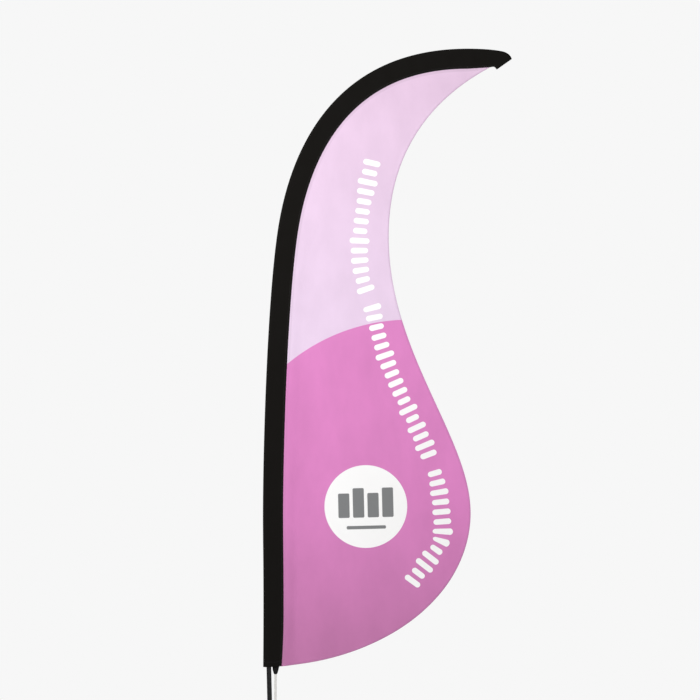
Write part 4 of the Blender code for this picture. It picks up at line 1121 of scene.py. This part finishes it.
def finish_nodes(finishes):
    slots = {part["node"]: part["material_slot"] for part in frame["record"]["subparts"]}
    for name, node in frame["nodes"].items():
        for place in node.material_slots:
            place.material = finishes[slots[name]]
        if not node.hide_render:
            soften(node, EDGE_WIDTHS.get(slots[name], EDGE_WIDTH))


# ---- Assembly ----

fabric = black_weave(
    "black_fabric", pitch=0.0011, light=(0.0070, 0.0060, 0.0050), rough=0.80, relief=0.00010
)
webbing = black_weave(
    "black_webbing", pitch=0.0022, light=(0.011, 0.0105, 0.0105), rough=0.66, relief=0.00025
)
elastic_finish = white_elastic()
dark_thread = thread("dark_thread", (0.014, 0.013, 0.013))
pale_thread = thread("pale_thread", (0.60, 0.33, 0.52))
panel_finish, hem_finish = printed_cloth(), hem_cloth()

sleeve = make_sleeve(fabric)
pocket = make_tip_pocket(fabric)
panel, hem, hem_places, hem_relief = make_panel(panel_finish, hem_finish)
seam_rows = sleeve_stitches(dark_thread)
tip_rows = tip_stitches(dark_thread)
hem_rows = hem_stitches(hem_places, hem_relief, pale_thread)
tab = make_tab(webbing)
elastic = make_elastic(elastic_finish)

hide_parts("pole_sleeve")
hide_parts("sleeve_tip_pocket")
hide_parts("flag_panel")
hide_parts("edge_hem")
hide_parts("tension_tab")
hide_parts("tension_elastic")
for piece in (sleeve, pocket, tab, *seam_rows, *tip_rows):
    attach(piece, "mast")
for piece in (panel, hem, *hem_rows):
    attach(piece, "mast")
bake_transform(elastic)

finish_nodes(
    {
        "printed_cloth": panel_finish,
        "black_cloth": fabric,
        "white_elastic": elastic_finish,
        "black_pole": fibre_pole(),
        "bright_steel": turned_metal(
            "bright_steel", dark=(0.55, 0.55, 0.57), light=(0.76, 0.76, 0.78), rough=0.24
        ),
        "zinc_steel": zinc_plate(),
        "brass": turned_metal("brass", dark=(0.62, 0.42, 0.17), light=(0.84, 0.62, 0.30), rough=0.30),
        "painted_steel": powder_coat(),
        "rubber": moulded(
            "rubber", dark=(0.011, 0.011, 0.011), light=(0.024, 0.023, 0.022),
            rough=0.72, grain=900.0, relief=0.00012
        ),
        "black_plastic": moulded(
            "black_plastic", dark=(0.016, 0.016, 0.017), light=(0.030, 0.030, 0.032),
            rough=0.42, grain=1300.0, relief=0.00004
        ),
    }
)

# ---- Stage, camera and light ----


def make_floor():
    s = Shader("floor", 0.85)
    cloud = s.noise(3.0, detail=4.0)
    s.colour(s.blend(cloud, (0.72, 0.72, 0.725), (0.76, 0.76, 0.76)))
    from_middle = s.vector("LENGTH", s.place())
    s.feed(s.principled.inputs["Alpha"], s.between(from_middle, FLOOR_FADE, FLOOR_RADIUS, 1.0, 0.0))
    bm = bmesh.new()
    bmesh.ops.create_circle(bm, cap_ends=True, segments=128, radius=FLOOR_RADIUS)
    mesh = bpy.data.meshes.new("floor")
    bm.to_mesh(mesh)
    bm.free()
    floor = add_object("floor", mesh)
    mesh.materials.append(s.material)
    floor.location = (FLOOR_CENTRE[0], FLOOR_CENTRE[1], cad_box[0][2] - FLOOR_GAP)


def area_light(name, place, target, size, watts):
    light = bpy.data.lights.new(name, "AREA")
    light.size = size
    light.energy = watts
    lamp = add_object(name, light)
    lamp.location = place
    lamp.visible_camera = False
    lamp.rotation_euler = (Vector(target) - Vector(place)).to_track_quat("-Z", "Y").to_euler()


def make_world():
    """The backdrop's colour for the camera, and a dimmer even light for the object."""
    world = bpy.data.worlds.new("studio")
    bpy.context.scene.world = world
    world.use_nodes = True
    nodes, links = world.node_tree.nodes, world.node_tree.links
    lighting = nodes["Background"]
    lighting.inputs["Color"].default_value = (1.0, 1.0, 1.0, 1.0)
    lighting.inputs["Strength"].default_value = AMBIENT
    backdrop = nodes.new("ShaderNodeBackground")
    backdrop.inputs["Color"].default_value = (*BACKDROP, 1.0)
    rays = nodes.new("ShaderNodeLightPath")
    choose = nodes.new("ShaderNodeMixShader")
    links.new(rays.outputs["Is Camera Ray"], choose.inputs[0])
    links.new(lighting.outputs[0], choose.inputs[1])
    links.new(backdrop.outputs[0], choose.inputs[2])
    links.new(choose.outputs[0], nodes["World Output"].inputs["Surface"])


make_floor()
make_world()
for lamp in LAMPS:
    area_light(*lamp)

view = bpy.data.cameras.new("view")
view.lens = LENS
view.sensor_width = SENSOR
camera = add_object("view", view)
camera.location = CAMERA_PLACE
camera.rotation_euler = (math.radians(90.0), math.radians(CAMERA_ROLL), 0.0)
bpy.context.scene.camera = camera
bpy.context.scene.view_settings.view_transform = "Standard"
